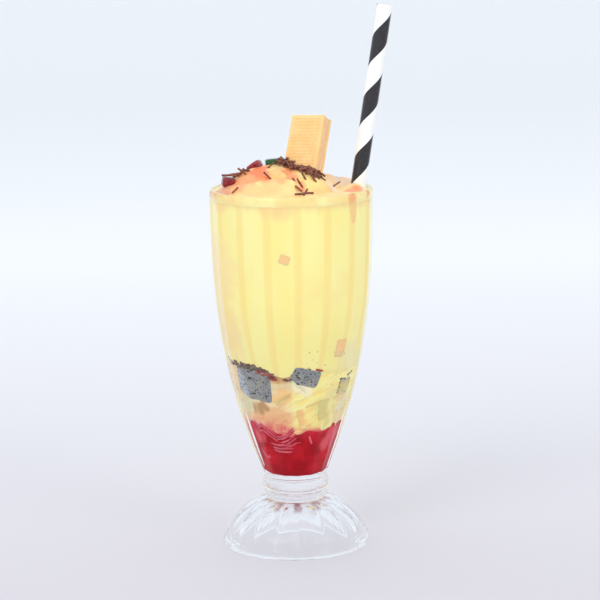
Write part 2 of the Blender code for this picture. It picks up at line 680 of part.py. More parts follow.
def keep_main_shell(made):
    """Fill hollows that the union sealed and drop cut-off scraps: only the largest shell stays."""
    bm = bmesh.new()
    bm.from_mesh(made.data)
    shells, seen = [], set()
    for start in bm.faces:
        if start in seen:
            continue
        shell, waiting = [], [start]
        seen.add(start)
        while waiting:
            face = waiting.pop()
            shell.append(face)
            for edge in face.edges:
                for other in edge.link_faces:
                    if other not in seen:
                        seen.add(other)
                        waiting.append(other)
        shells.append(shell)
    shells.sort(key=len)
    spare = [face for shell in shells[:-1] for face in shell]
    bmesh.ops.delete(bm, geom=spare, context="FACES")
    bm.to_mesh(made.data)
    bm.free()


def fuse_strands(heap, gathered):
    """Union all the strands with the heap at once, and drop the strands' own objects."""
    bpy.context.scene.collection.children.link(gathered)
    change = heap.modifiers.new("Strands", "BOOLEAN")
    change.operation = "UNION"
    change.solver = "EXACT"
    change.operand_type = "COLLECTION"
    change.collection = gathered
    apply_modifiers(heap)
    keep_main_shell(heap)
    for made in list(gathered.objects):
        bpy.data.objects.remove(made, do_unlink=True)
    bpy.data.collections.remove(gathered)


# ---------------------------------------------------------------- putting it together

clear_scene()
stand = bpy.data.objects.new("falooda", None)
bpy.context.collection.objects.link(stand)
stand.location = (AXIS_X, 0, 0)
bpy.context.view_layer.update()

make_glass()
wall_tools = make_wall_pieces(make_wall_tool())
layers = make_layers(wall_tools)
heap = make_heap()
fuse_strands(heap, make_strands(strand_spots()))
for tool in make_toppings():
    boolean(heap, tool, "DIFFERENCE")
wafer_tool = make_wafer()
straw_tool = make_straw()
for filled in (layers[1], layers[2], heap):
    boolean(filled, straw_tool, "DIFFERENCE")
for filled in (layers[2], heap):
    boolean(filled, wafer_tool, "DIFFERENCE")
apply_modifiers(heap)
keep_main_shell(heap)
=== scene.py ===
"""The looks of a mango falooda in its footed soda glass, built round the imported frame.

Metres, +Z up. The front is -Y, and an angle round the glass is counted from the front
towards +X. The pieces come in the order in which the drink is made and served: the glass,
what is spooned and poured into it from the bottom up, the cream and what lies on it, then
the wafer and the straw.
"""
import math
import random

import bmesh
import bpy
from mathutils import Matrix, Vector


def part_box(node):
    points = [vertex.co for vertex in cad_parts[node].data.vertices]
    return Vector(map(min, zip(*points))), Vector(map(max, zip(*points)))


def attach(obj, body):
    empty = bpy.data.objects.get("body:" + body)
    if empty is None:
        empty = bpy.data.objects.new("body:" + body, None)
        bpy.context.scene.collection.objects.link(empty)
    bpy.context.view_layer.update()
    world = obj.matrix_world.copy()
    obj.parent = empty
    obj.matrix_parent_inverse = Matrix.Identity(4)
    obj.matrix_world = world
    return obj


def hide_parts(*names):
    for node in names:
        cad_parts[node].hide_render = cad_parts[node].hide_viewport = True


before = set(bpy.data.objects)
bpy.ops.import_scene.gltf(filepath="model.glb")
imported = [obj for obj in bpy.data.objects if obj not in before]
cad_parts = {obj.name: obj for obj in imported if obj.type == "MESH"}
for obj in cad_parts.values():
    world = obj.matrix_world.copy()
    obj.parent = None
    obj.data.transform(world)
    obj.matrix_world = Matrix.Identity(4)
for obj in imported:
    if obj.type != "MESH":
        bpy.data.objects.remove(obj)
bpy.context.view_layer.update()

# ---------------------------------------------------------------- the glass
# A soda glass of clear pressed glass: a thick-walled bowl on a stem with two moulded rings
# and a bell-shaped foot that is hollow underneath. Sixteen panels are hollowed into the bowl
# and the foot. It is fire-polished, so every edge is soft.
MM = 0.001
DEGREE = math.radians(1)
UP = Vector((0, 0, 1))
GLASS_LOW, GLASS_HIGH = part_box("glass")
AXIS = Vector(((GLASS_LOW.x + GLASS_HIGH.x) / 2, 0, 0))
RIM_RADIUS, RIM_WALL, RIM_BAND = 43 * MM, 3 * MM, 3 * MM
BOWL_BASE, BOWL_TOP, BOWL_BASE_RADIUS, BOWL_FLARE = 38 * MM, 190 * MM, 16.6 * MM, 2.5
WELL_SHARE, WELL_FROM, WELL_TO, WELL_FLOOR = 0.60, 56 * MM, 136 * MM, 38.7 * MM
WELL_CORNER = (7 * MM, 4.5 * MM)
BOWL_ROWS, WELL_ROWS = range(42, 189, 3), range(188, 43, -3)  # heights in millimetres
KNOP = (17.6 * MM, 33.4 * MM, 3.8 * MM)  # a stem ring's radius, height and half thickness
COLLAR = (16.8 * MM, 27.4 * MM, 2.5 * MM)
RING_BULGE = 1.9 * MM
FOOT_RADIUS, FOOT_EDGE, FOOT_HEIGHT, FOOT_TOP_RADIUS = 39.6 * MM, 2.4 * MM, 24.6 * MM, 15.4 * MM
FOOT_HOLLOW, FOOT_ROUND, FOOT_RING = (34 * MM, 22 * MM), 1.7 * MM, 1.5 * MM
BELL_ROWS, BELL_CURVE = 22, (1.9, 0.85)
PANELS, PANEL_EDGE, PANEL_HOLLOW, PANEL_COLUMNS = 16, 4.3 * DEGREE, 1.25, 10
PANEL_ARCH, PANEL_TOP_FADE, PANEL_LOW_FADE = 3.5 * MM, 3 * MM, 8 * MM
FOOT_PANEL_DEPTH, FOOT_PANEL_INSET, FOOT_PANEL_ARCH = 1.8, 2, 5  # the last two in millimetres
FOOT_PANEL_FADE, FOOT_PANEL_LOW, FOOT_PANEL_HIGH = 3 * MM, 3 * MM, 9 * MM
FOOT_WALL, FOOT_FLAT = 2 * MM, 0.3 * MM


def hold(*pieces):
    """Select only these pieces, with the first one active."""
    bpy.ops.object.select_all(action="DESELECT")
    for piece in pieces:
        piece.select_set(True)
    bpy.context.view_layer.objects.active = pieces[0]


def edit(piece):
    """Open a piece for editing, with nothing in it selected."""
    hold(piece)
    bpy.ops.object.mode_set(mode="EDIT")
    bpy.ops.mesh.select_mode(type="VERT")
    bpy.ops.mesh.select_all(action="DESELECT")


def pick(piece, test):
    """In edit mode, select the vertices whose place passes a test, and what they span."""
    bpy.ops.mesh.select_all(action="DESELECT")
    shape = bmesh.from_edit_mesh(piece.data)
    for vert in shape.verts:
        vert.select_set(bool(test(vert.co)))
    shape.select_flush(True)
    bmesh.update_edit_mesh(piece.data)


def settle(piece):
    """Close a piece, with its place, turn and size taken into its mesh."""
    if bpy.context.mode != "OBJECT":
        bpy.ops.object.mode_set(mode="OBJECT")
    hold(piece)
    bpy.ops.object.transform_apply(location=True, rotation=True, scale=True)
    return piece


def named(name):
    """Name the piece that was just added."""
    bpy.context.object.name = bpy.context.object.data.name = name
    return bpy.context.object


def change(piece, kind, **settings):
    """Give a piece a modifier and apply it."""
    hold(piece)
    made = piece.modifiers.new(kind.title(), kind)
    for key, value in settings.items():
        setattr(made, key, value)
    bpy.ops.object.modifier_apply(modifier=made.name)


def at_angle(radius, angle, height):
    """The point at a radius, an angle from the front and a height in the glass."""
    return AXIS + Vector((radius * math.sin(angle), -radius * math.cos(angle), height))


def around(place):
    """The radius and the angle from the front of a point in the glass."""
    return math.hypot(place.x - AXIS.x, place.y), math.atan2(place.x - AXIS.x, -place.y)


def soft_step(low, high, value):
    """0 below low, 1 above high, and a smooth rise between them."""
    share = min(1.0, max(0.0, (value - low) / (high - low)))
    return share * share * (3 - 2 * share)


def arc(middle, radii, start, end, steps):
    """Points along an arc of an ellipse, as (radius, height) pairs; angles in degrees."""
    turns = [math.radians(start + (end - start) * step / steps) for step in range(steps + 1)]
    return [(middle[0] + radii[0] * math.cos(turn), middle[1] + radii[1] * math.sin(turn)) for turn in turns]


def draw(name, outline):
    """Draw an outline of (radius, height) points, extruded from one vertex, and stay in edit mode."""
    points = [at_angle(radius, PANEL_EDGE, height) for radius, height in outline]
    bpy.ops.mesh.primitive_plane_add(size=MM, location=points[0])
    piece = named(name)
    edit(piece)
    bpy.ops.mesh.select_all(action="SELECT")
    bpy.ops.mesh.merge(type="CENTER")
    for here, there in zip(points, points[1:]):
        bpy.ops.mesh.extrude_region_move(TRANSFORM_OT_translate={"value": there - here})
    bpy.ops.mesh.select_all(action="SELECT")
    return piece


def close_up():
    """In edit mode, merge what meets and turn all faces outwards."""
    bpy.ops.mesh.select_all(action="SELECT")
    bpy.ops.mesh.remove_doubles(threshold=0.005 * MM)
    bpy.ops.mesh.normals_make_consistent(inside=False)


def lathe(name, outline, columns):
    """Turn an outline once round the glass's axis into a closed, smooth piece."""
    piece = draw(name, outline)
    bpy.ops.mesh.spin(steps=columns, angle=math.tau, center=AXIS, axis=UP)
    close_up()
    settle(piece)
    bpy.ops.object.shade_smooth()
    return piece


def bowl_radius(height):
    """Outside of the bowl: it flares fast from the stem and is upright at the rim."""
    share = min(1.0, max(0.0, (height - BOWL_BASE) / (BOWL_TOP - BOWL_BASE)))
    return RIM_RADIUS - (RIM_RADIUS - BOWL_BASE_RADIUS) * (1 - share) ** BOWL_FLARE


def well_radius(height):
    """Inside of the bowl: narrow and thick-walled low down, and thin at the rim."""
    rim_share = 1 - RIM_WALL / RIM_RADIUS
    thin = soft_step(WELL_FROM, WELL_TO, height)
    return bowl_radius(height) * (WELL_SHARE + (rim_share - WELL_SHARE) * thin)


def stem_ring(radius, height, half):
    """A moulded ring round the stem, from its lower to its upper edge."""
    return arc((radius - RING_BULGE, height), (RING_BULGE, half), -75, 75, 9)


def glass_outline():
    """From the crown of the hollow foot, round the outside and over the rim to the well's floor."""
    foot_edge = arc((FOOT_RADIUS - FOOT_ROUND, FOOT_ROUND), (FOOT_ROUND, FOOT_ROUND), -90, 10, 5)
    bell = []
    for step in range(BELL_ROWS + 1):
        share = 1 - step / BELL_ROWS
        climb = (1 - share ** BELL_CURVE[0]) ** BELL_CURVE[1]
        bell.append((FOOT_TOP_RADIUS + (FOOT_RADIUS - FOOT_TOP_RADIUS) * share,
                     FOOT_EDGE + (FOOT_HEIGHT - FOOT_EDGE) * climb))
    bowl = [(bowl_radius(height * MM), height * MM) for height in BOWL_ROWS]
    half = RIM_WALL / 2
    lip = arc((RIM_RADIUS - half, GLASS_HIGH.z - half), (half, half), 0, 180, 8)
    well = [(well_radius(height * MM), height * MM) for height in WELL_ROWS]
    low = WELL_FLOOR + WELL_CORNER[1]
    corner = arc((well_radius(low) - WELL_CORNER[0], low), WELL_CORNER, 0, -90, 8)
    return (arc((0, 0), FOOT_HOLLOW, 90, 0, 20) + [(FOOT_HOLLOW[0] + FOOT_RING, 0)] + foot_edge + bell
            + stem_ring(*COLLAR) + stem_ring(*KNOP) + bowl + lip + well + corner + [(0, WELL_FLOOR)])


def panel_push(place):
    """How much a vertex of the glass is scaled towards the axis to hollow the panels."""
    radius, angle = around(place)
    half = math.pi / PANELS
    off_middle = abs((angle - PANEL_EDGE) % (2 * half) - half)
    arch = (off_middle / half) ** 2
    if place.z > BOWL_BASE + MM:
        if radius < (bowl_radius(place.z) + well_radius(place.z)) / 2:
            return 1.0
        top = GLASS_HIGH.z - RIM_BAND - PANEL_ARCH * arch
        depth = soft_step(top, top - PANEL_TOP_FADE, place.z)
        depth *= soft_step(BOWL_BASE, BOWL_BASE + PANEL_LOW_FADE, place.z)
    elif place.z > FOOT_HEIGHT + 0.1 * MM or place.z < FOOT_FLAT:
        return 1.0
    else:
        under = FOOT_HOLLOW[0] * math.sqrt(max(0.0, 1 - (place.z / FOOT_HOLLOW[1]) ** 2))
        if radius < under + FOOT_WALL:
            return 1.0
        start = FOOT_TOP_RADIUS + (FOOT_PANEL_INSET + FOOT_PANEL_ARCH * arch) * MM
        depth = FOOT_PANEL_DEPTH * soft_step(start, start + FOOT_PANEL_FADE, radius)
        depth *= soft_step(FOOT_PANEL_LOW, FOOT_PANEL_HIGH, place.z)
    dip = (1 - math.cos(half) / math.cos(off_middle)) * PANEL_HOLLOW
    return round(1 - depth * dip, 4)


glass = draw("soda_glass", glass_outline())
bpy.ops.mesh.spin(steps=PANEL_COLUMNS, angle=math.tau / PANELS, center=AXIS, axis=UP)
settle(glass)
edit(glass)
for push in sorted({panel_push(vert.co) for vert in glass.data.vertices} - {1.0}):
    pick(glass, lambda place: panel_push(place) == push)
    bpy.ops.transform.resize(value=(push, push, 1), center_override=AXIS)
bpy.ops.mesh.select_all(action="SELECT")
bpy.ops.mesh.spin(steps=PANELS - 1, angle=math.tau * (PANELS - 1) / PANELS, center=AXIS, axis=UP, dupli=True)
close_up()
settle(glass)
bpy.ops.object.shade_smooth()


def paint(red, green, blue):
    """A colour from its picture values of 0 to 255, as the linear values that shaders take."""
    values = [value / 255 for value in (red, green, blue)]
    return tuple(v / 12.92 if v < 0.04045 else ((v + 0.055) / 1.055) ** 2.4 for v in values) + (1.0,)


def node(tree, kind, sockets=(), **settings):
    """Add a shader node; its sockets are given values or the outputs that feed them."""
    made = tree.nodes.new("ShaderNode" + kind)
    for key, value in settings.items():
        setattr(made, key, value)
    for socket, value in dict(sockets).items():
        if isinstance(value, bpy.types.NodeSocket):
            tree.links.new(value, made.inputs[socket])
        else:
            made.inputs[socket].default_value = value
    return made


def finish(name, sockets):
    """A new material: itself, its tree, its Principled shader with these values, and the place on it."""
    made = bpy.data.materials.new(name)
    made.use_nodes = True
    tree = made.node_tree
    shader = tree.nodes["Principled BSDF"]
    for socket, value in sockets.items():
        shader.inputs[socket].default_value = value
    return made, tree, shader, node(tree, "TexCoord").outputs["Object"]


def mixed(tree, share, first, second):
    """Mix two colours by a share from 0 to 1."""
    return node(tree, "Mix", {0: share, 6: first, 7: second}, data_type="RGBA").outputs[2]


def reckon(tree, operation, first, second):
    """Reckon with two values."""
    return node(tree, "Math", {0: first, 1: second}, operation=operation).outputs[0]


def ramp(tree, value, low, high, start=0.0, end=1.0, kind="SMOOTHSTEP"):
    """A value that runs from start to end while another one runs from low to high."""
    return node(tree, "MapRange", {"Value": value, "From Min": low, "From Max": high, "To Min": start,
                                   "To Max": end}, interpolation_type=kind).outputs["Result"]


def along(tree, place, axis):
    """How far a place lies along X, Y or Z."""
    return node(tree, "SeparateXYZ", {0: place}).outputs[axis]


def new_group(name, inputs, outputs):
    """A shader node group with named float, vector or colour sockets."""
    tree = bpy.data.node_groups.new(name, "ShaderNodeTree")
    kinds = {"float": "NodeSocketFloat", "vector": "NodeSocketVector", "color": "NodeSocketColor"}
    for socket, kind in inputs.items():
        tree.interface.new_socket(socket, in_out="INPUT", socket_type=kinds[kind])
    for socket, kind in outputs.items():
        tree.interface.new_socket(socket, in_out="OUTPUT", socket_type=kinds[kind])
    return tree, tree.nodes.new("NodeGroupInput").outputs, tree.nodes.new("NodeGroupOutput").inputs


def uneven_group():
    """Cloudy unevenness: a mask that runs from 0 to 1 between two levels of a noise."""
    inputs = {"Vector": "vector", "Scale": "float", "Low": "float", "High": "float"}
    tree, given, made = new_group("unevenness", inputs, {"Mask": "float"})
    clouds = node(tree, "TexNoise", {"Vector": given["Vector"], "Scale": given["Scale"], "Detail": 3.0})
    tree.links.new(ramp(tree, clouds.outputs["Fac"], given["Low"], given["High"]), made["Mask"])
    return tree


UNEVENNESS = uneven_group()


def uneven(tree, vector, scale, low=0.35, high=0.65):
    """Place the unevenness group: its mask."""
    made = node(tree, "Group", node_tree=UNEVENNESS)
    tree.links.new(vector, made.inputs["Vector"])
    for socket, value in (("Scale", scale), ("Low", low), ("High", high)):
        made.inputs[socket].default_value = value
    return made.outputs["Mask"]


def relief(tree, shader, height, depth, strength=1.0):
    """Let a value raise the surface by up to a depth in metres."""
    bump = node(tree, "Bump", {"Height": height, "Distance": depth, "Strength": strength})
    tree.links.new(bump.outputs["Normal"], shader.inputs["Normal"])


def wave_round(tree, place, count, first):
    """The angle round the glass's axis, and a wave that peaks a number of times on its way round."""
    moved = node(tree, "VectorMath", {0: place, 1: AXIS}, operation="SUBTRACT").outputs[0]
    turn = reckon(tree, "ARCTAN2", along(tree, moved, "Y"), along(tree, moved, "X"))
    ripple = reckon(tree, "MULTIPLY", reckon(tree, "ADD", turn, math.pi / 2 - first), float(count))
    return turn, node(tree, "Math", {0: ripple}, operation="COSINE").outputs[0]


# The red colour and the red spot values below paint a reflection of the jelly, as seen through the stem, into
# the glass's colour.
CLEAR, PAINTED_JELLY_RED = (0.985, 0.995, 1.0, 1), paint(176, 132, 134)
DULL_LOW, DULL_LOW_HEIGHTS = 0.05, (46 * MM, 38 * MM)
DULL_RINGS, RINGS_RISING, RINGS_FALLING = 0.16, (22 * MM, 26 * MM), (41 * MM, 37 * MM)
PAINTED_RED_SPOTS, PAINTED_RED_FIRST, PAINTED_RED_BELOW = 10, 3 * DEGREE, (25 * MM, 24.5 * MM)
PAINTED_RED_MIDDLE, PAINTED_RED_REACH = AXIS + UP * 23 * MM, (20.5 * MM, 17.5 * MM)


def clear_glass():
    """Clear glass with a faint ripple, duller in the stem and foot.

    A painted reflection of the jelly tints the glass red in spots under the stem. Light for what is inside
    passes straight through.
    """
    made, tree, shader, place = finish("clear pressed glass", {
        "IOR": 1.5, "Transmission Weight": 1.0, "Specular Tint": (0.3, 0.3, 0.3, 1)})
    height = along(tree, place, "Z")
    low = ramp(tree, height, *DULL_LOW_HEIGHTS, end=DULL_LOW, kind="LINEAR")
    rising = ramp(tree, height, *RINGS_RISING, end=DULL_RINGS, kind="LINEAR")
    falling = ramp(tree, height, *RINGS_FALLING, end=DULL_RINGS, kind="LINEAR")
    dull = reckon(tree, "ADD", low, reckon(tree, "MINIMUM", rising, falling))
    tree.links.new(dull, shader.inputs["Roughness"])
    # Painted reflection: red spots round the stem, where the jelly shows through it.
    off = node(tree, "VectorMath", {0: place, 1: PAINTED_RED_MIDDLE}, operation="DISTANCE").outputs["Value"]
    near = ramp(tree, off, *PAINTED_RED_REACH)
    below = ramp(tree, height, *PAINTED_RED_BELOW, kind="LINEAR")
    _, wave = wave_round(tree, place, PAINTED_RED_SPOTS, PAINTED_RED_FIRST)
    spot = reckon(tree, "MULTIPLY", ramp(tree, wave, 0.1, 0.9, kind="LINEAR"), near)
    spot = reckon(tree, "MULTIPLY", spot, below)
    tree.links.new(mixed(tree, spot, CLEAR, PAINTED_JELLY_RED), shader.inputs["Base Color"])
    relief(tree, shader, uneven(tree, place, 45.0), 0.05 * MM, 0.3)
    path = node(tree, "LightPath").outputs
    passing = reckon(tree, "MAXIMUM", path["Is Shadow Ray"], path["Is Diffuse Ray"])
    through = node(tree, "BsdfTransparent", {"Color": (0.98, 0.985, 0.985, 1)})
    both = node(tree, "MixShader", {0: passing, 1: shader.outputs[0], 2: through.outputs[0]})
    tree.links.new(both.outputs[0], tree.nodes["Material Output"].inputs["Surface"])
    return made


def serve(piece, material, slot, *nodes):
    """Give a finished piece its material and its body, and hide the CAD nodes that it stands for. The slot is
    not used.
    """
    if material:
        piece.data.materials.clear()
        piece.data.materials.append(material)
    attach(piece, "root")
    if nodes:
        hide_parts(*nodes)


serve(glass, clear_glass(), "glass", "glass")

# ---------------------------------------------------------------- the rose jelly
# Red rose syrup and jelly at the bottom of the glass, spooned in first. It is wet and lets
# some light in, and it climbs the wall a little. What fills the glass reaches just into the
# wall, so that no air shows between them.
BITE = 0.15 * MM
FILL_COLUMNS, FILL_ROW = 128, 1.6 * MM
SLAB_CELLS, SLAB_DEPTH, WAVE_SPREAD = 76, 60 * MM, 1.8
ROSE_TOP = 66.3 * MM
ROSE_WAVES = [  # each wave's rise in millimetres, and its angle and width in degrees
    (-3.4, -8, 18), (-1.8, 47, 15), (1.6, 100, 40), (1.2, -90, 40), (-1.2, 170, 30), (3.2, -78, 20),
    (1.6, 84, 30)]


def fill(name, bottom, top, bite=BITE, columns=FILL_COLUMNS):
    """What fills the glass between two heights, with a round corner where it lies on the well's floor."""
    low = WELL_FLOOR + WELL_CORNER[1]
    corner, start = [], bottom
    if bottom < low:
        corner = arc((well_radius(low) - WELL_CORNER[0], low),
                     (WELL_CORNER[0] + bite, WELL_CORNER[1] + bite), -90, 0, 6)[:-1]
        bottom, start = WELL_FLOOR - bite, low
    rows = max(2, round((top - start) / FILL_ROW))
    heights = [start + (top - start) * row / rows for row in range(rows + 1)]
    wall = [(well_radius(height) + bite, height) for height in heights]
    return lathe(name, [(0, bottom)] + corner + wall + [(0, top)], columns)


def pull(piece, spot, rise, reach):
    """Pull the vertex nearest to a spot up, and with it all that lies within reach."""
    shape = bmesh.from_edit_mesh(piece.data)
    nearest = min(shape.verts, key=lambda vert: (vert.co - spot).length_squared)
    bpy.ops.mesh.select_all(action="DESELECT")
    nearest.select_set(True)
    shape.select_flush(True)
    bmesh.update_edit_mesh(piece.data)
    bpy.ops.transform.translate(value=(0, 0, rise), use_proportional_edit=True,
                                proportional_edit_falloff="SMOOTH", proportional_size=reach)


def wavy_slab(name, height, waves):
    """A slab whose top is level in the middle and runs up and down at the wall: it parts two layers."""
    bpy.ops.mesh.primitive_grid_add(x_subdivisions=SLAB_CELLS, y_subdivisions=SLAB_CELLS,
                                    size=2.4 * RIM_RADIUS, location=AXIS + UP * height)
    slab = settle(named(name))
    edit(slab)
    for rise, angle, width in waves:
        spot = at_angle(well_radius(height), angle * DEGREE, height)
        pull(slab, spot, rise * MM, WAVE_SPREAD * width * DEGREE * well_radius(height))
    bpy.ops.mesh.select_all(action="SELECT")
    bpy.ops.mesh.extrude_region_move(TRANSFORM_OT_translate={"value": -UP * SLAB_DEPTH})
    close_up()
    return settle(slab)


def cut(piece, tool, operation="DIFFERENCE"):
    """Cut a piece with a tool, or keep only what lies in both."""
    change(piece, "BOOLEAN", operation=operation, object=tool)


def discard(*tools):
    """Delete what only helped to shape the pieces."""
    for tool in tools:
        bpy.data.objects.remove(tool, do_unlink=True)


rose_slab = wavy_slab("rose level", ROSE_TOP, ROSE_WAVES)
rose = fill("rose_jelly", WELL_FLOOR, ROSE_TOP + 6 * MM)
cut(rose, rose_slab, "INTERSECT")
bpy.ops.object.shade_smooth_by_angle(angle=50 * DEGREE)


def height_share(tree, place, low, high):
    """A share that runs from 0 to 1 between two heights of the object."""
    return ramp(tree, along(tree, place, "Z"), low, high)


def patch_group():
    """A ragged round patch about a point: 1 within it, and 0 outside."""
    inputs = {"Vector": "vector", "Middle": "vector", "Reach": "float", "Ragged": "float"}
    tree, given, made = new_group("patch", inputs, {"Mask": "float"})
    clouds = node(tree, "TexNoise", {"Vector": given["Vector"], "Scale": 170.0, "Detail": 3.0})
    centred = node(tree, "VectorMath", {0: clouds.outputs["Color"], 1: (0.5, 0.5, 0.5)}, operation="SUBTRACT")
    shift = node(tree, "VectorMath", {0: centred.outputs[0], "Scale": given["Ragged"]}, operation="SCALE")
    moved = node(tree, "VectorMath", {0: given["Vector"], 1: shift.outputs[0]}, operation="ADD")
    far = node(tree, "VectorMath", {0: moved.outputs[0], 1: given["Middle"]}, operation="DISTANCE")
    share = reckon(tree, "DIVIDE", far.outputs["Value"], given["Reach"])
    tree.links.new(ramp(tree, share, 1.0, 0.35), made["Mask"])
    return tree


PATCH = patch_group()


def patched(tree, place, under, spots, color, ragged):
    """Lay patches of a colour over another one; each spot is its middle and its reach."""
    for middle, reach in spots:
        made = node(tree, "Group", node_tree=PATCH)
        tree.links.new(place, made.inputs["Vector"])
        for socket, value in (("Middle", middle), ("Reach", reach), ("Ragged", ragged)):
            made.inputs[socket].default_value = value
        under = mixed(tree, made.outputs["Mask"], under, color)
    return under


def on_wall(angle, height, deep=0.0):
    """A point on the wall inside the glass: an angle in degrees and a height in millimetres."""
    return at_angle(well_radius(height * MM) - deep, angle * DEGREE, height * MM)


def wall_patches(tree, place, under, spots, color, ragged=3 * MM):
    """Lay patches over a colour at the wall; each spot is an angle, a height and a reach in millimetres."""
    spots = [(on_wall(angle, height), reach * MM) for angle, height, reach in spots]
    return patched(tree, place, under, spots, color, ragged)


def rose_finish():
    """Deep red, with brighter clouds, and pinker towards the cream."""
    made, tree, shader, place = finish("rose jelly", {
        "Roughness": 0.3, "Specular IOR Level": 0.0, "Subsurface Weight": 0.5,
        "Subsurface Radius": (1.0, 0.08, 0.10), "Subsurface Scale": 4 * MM})
    deep = mixed(tree, uneven(tree, place, 110.0, 0.35, 0.7), paint(158, 4, 22), paint(196, 18, 36))
    upper = height_share(tree, place, 60 * MM, 71 * MM)
    ragged = reckon(tree, "MULTIPLY", upper, uneven(tree, place, 260.0, 0.2, 0.6))
    color = mixed(tree, ragged, deep, paint(212, 60, 74))
    color = wall_patches(tree, place, color, [(64, 58, 6), (74, 63, 6), (-70, 62, 5)], paint(214, 84, 92))
    tree.links.new(color, shader.inputs["Base Color"])
    return made


serve(rose, rose_finish(), "rose_jelly", "rose_layer")

# ---------------------------------------------------------------- the noodles
# Falooda noodles: thin, soft strands of starch. Those in the syrup have turned pink, those
# above it are the colour of cream. They lie in loose bundles against the wall.
NOODLE_RADIUS, NOODLE_DEPTH, NOODLE_POINTS = 0.8 * MM, 0.35 * MM, 9
ROSE_BUNDLES = [  # from an angle and a height to another, by an angle and a height between; and how many
    (-80, 71.0, -45, 64.5, -22, 61.0, 3), (-30, 61.5, -10, 61.0, 6, 69.0, 3),
    (-56, 57.5, -20, 54.5, 4, 57.0, 3), (-20, 57.6, -4, 59.0, 10, 62.5, 2), (18, 64, 26, 60, 40, 58, 1),
    (-84, 57, -70, 51, -52, 49, 1), (150, 66, 178, 60, 205, 62, 3), (95, 64, 118, 58, 140, 60, 2),
    (-150, 58, -130, 62, -105, 60, 2)]
CREAM_BUNDLES = [
    (-5, 96.5, 4, 93.5, 15, 86, 1), (60, 76, 85, 80, 110, 88, 3),
    (100, 92, 125, 85, 150, 80, 3), (150, 72, 180, 78, 210, 86, 3), (190, 95, 220, 88, 250, 84, 3),
    (230, 72, 255, 76, 280, 80, 2)]
STAINED_BUNDLES = [
    (-28, 81, -14, 84.5, 0, 88, 2), (6, 79.2, 20, 79.6, 43, 84.5, 1), (44, 81, 62, 84, 72, 90, 1),
    (120, 90, 150, 84, 175, 84, 2)]
NOODLES = {  # slot, material, its two colours, how deep each colour's light goes, and the bundles
    "rose_noodles": ("rose_jelly", "pink noodles", paint(206, 66, 82), paint(230, 112, 124),
                     (1.0, 0.2, 0.2), ROSE_BUNDLES),
    "cream_noodles": ("noodle_cream", "cream noodles", paint(244, 222, 172), paint(252, 238, 196),
                      (1.0, 0.6, 0.3), CREAM_BUNDLES),
    "stained_noodles": ("noodle_cream", "stained noodles", paint(240, 192, 124), paint(250, 214, 146),
                        (1.0, 0.6, 0.2), STAINED_BUNDLES),
}


def bundle(draw_random, start, start_height, middle, middle_height, end, end_height, count):
    """Routes of noodles that lie side by side along the wall and bend, each a little apart and wavy."""
    routes = []
    for strand in range(count):
        off = (strand - (count - 1) / 2) * 2.5 * NOODLE_RADIUS + draw_random.uniform(-0.5, 0.5) * MM
        wave, phase = draw_random.uniform(0.1, 0.4) * MM, draw_random.uniform(0, math.tau)
        ends = draw_random.uniform(-7, 7), draw_random.uniform(-5, 5)
        route = []
        for step in range(NOODLE_POINTS):
            share = step / (NOODLE_POINTS - 1)
            parts = (1 - share) ** 2, 2 * share * (1 - share), share ** 2
            angle = parts[0] * (start + ends[0]) + parts[1] * middle + parts[2] * (end + ends[1])
            height = (parts[0] * start_height + parts[1] * middle_height + parts[2] * end_height) * MM + off
            height += wave * math.sin(phase + 3 * share)
            deep = NOODLE_DEPTH + 1.2 * MM * (2 * share - 1) ** 6
            route.append(at_angle(well_radius(height) - deep, angle * DEGREE, height))
        routes.append(route)
    return routes


def strands(name, routes, radius):
    """Round strands through the points of their routes, made one mesh."""
    curve = bpy.data.curves.new(name, "CURVE")
    curve.dimensions = "3D"
    curve.bevel_depth, curve.bevel_resolution, curve.resolution_u, curve.use_fill_caps = radius, 2, 4, True
    for route in routes:
        line = curve.splines.new("NURBS")
        line.points.add(len(route) - 1)
        line.order_u, line.use_endpoint_u = 4, True
        for point, place in zip(line.points, route):
            point.co = (*place, 1)
    piece = bpy.data.objects.new(name, curve)
    bpy.context.collection.objects.link(piece)
    hold(piece)
    bpy.ops.object.convert(target="MESH")
    piece = named(name)
    edit(piece)
    close_up()
    settle(piece)
    bpy.ops.object.shade_smooth()
    return piece


def noodle_finish(name, first, second, light):
    """Wet translucent starch, its colour drifting along the strands."""
    made, tree, shader, place = finish(name, {
        "Roughness": 0.35, "Specular IOR Level": 0.0, "Subsurface Weight": 0.5,
        "Subsurface Radius": light, "Subsurface Scale": 3 * MM})
    color = mixed(tree, uneven(tree, place, 160.0, 0.3, 0.7), first, second)
    tree.links.new(color, shader.inputs["Base Color"])
    return made


noodle_draw = random.Random(5)
for name, (slot, stuff, first, second, light, bundles) in NOODLES.items():
    routes = [route for given in bundles for route in bundle(noodle_draw, *given)]
    serve(strands(name, routes, NOODLE_RADIUS), noodle_finish(stuff, first, second, light), slot)

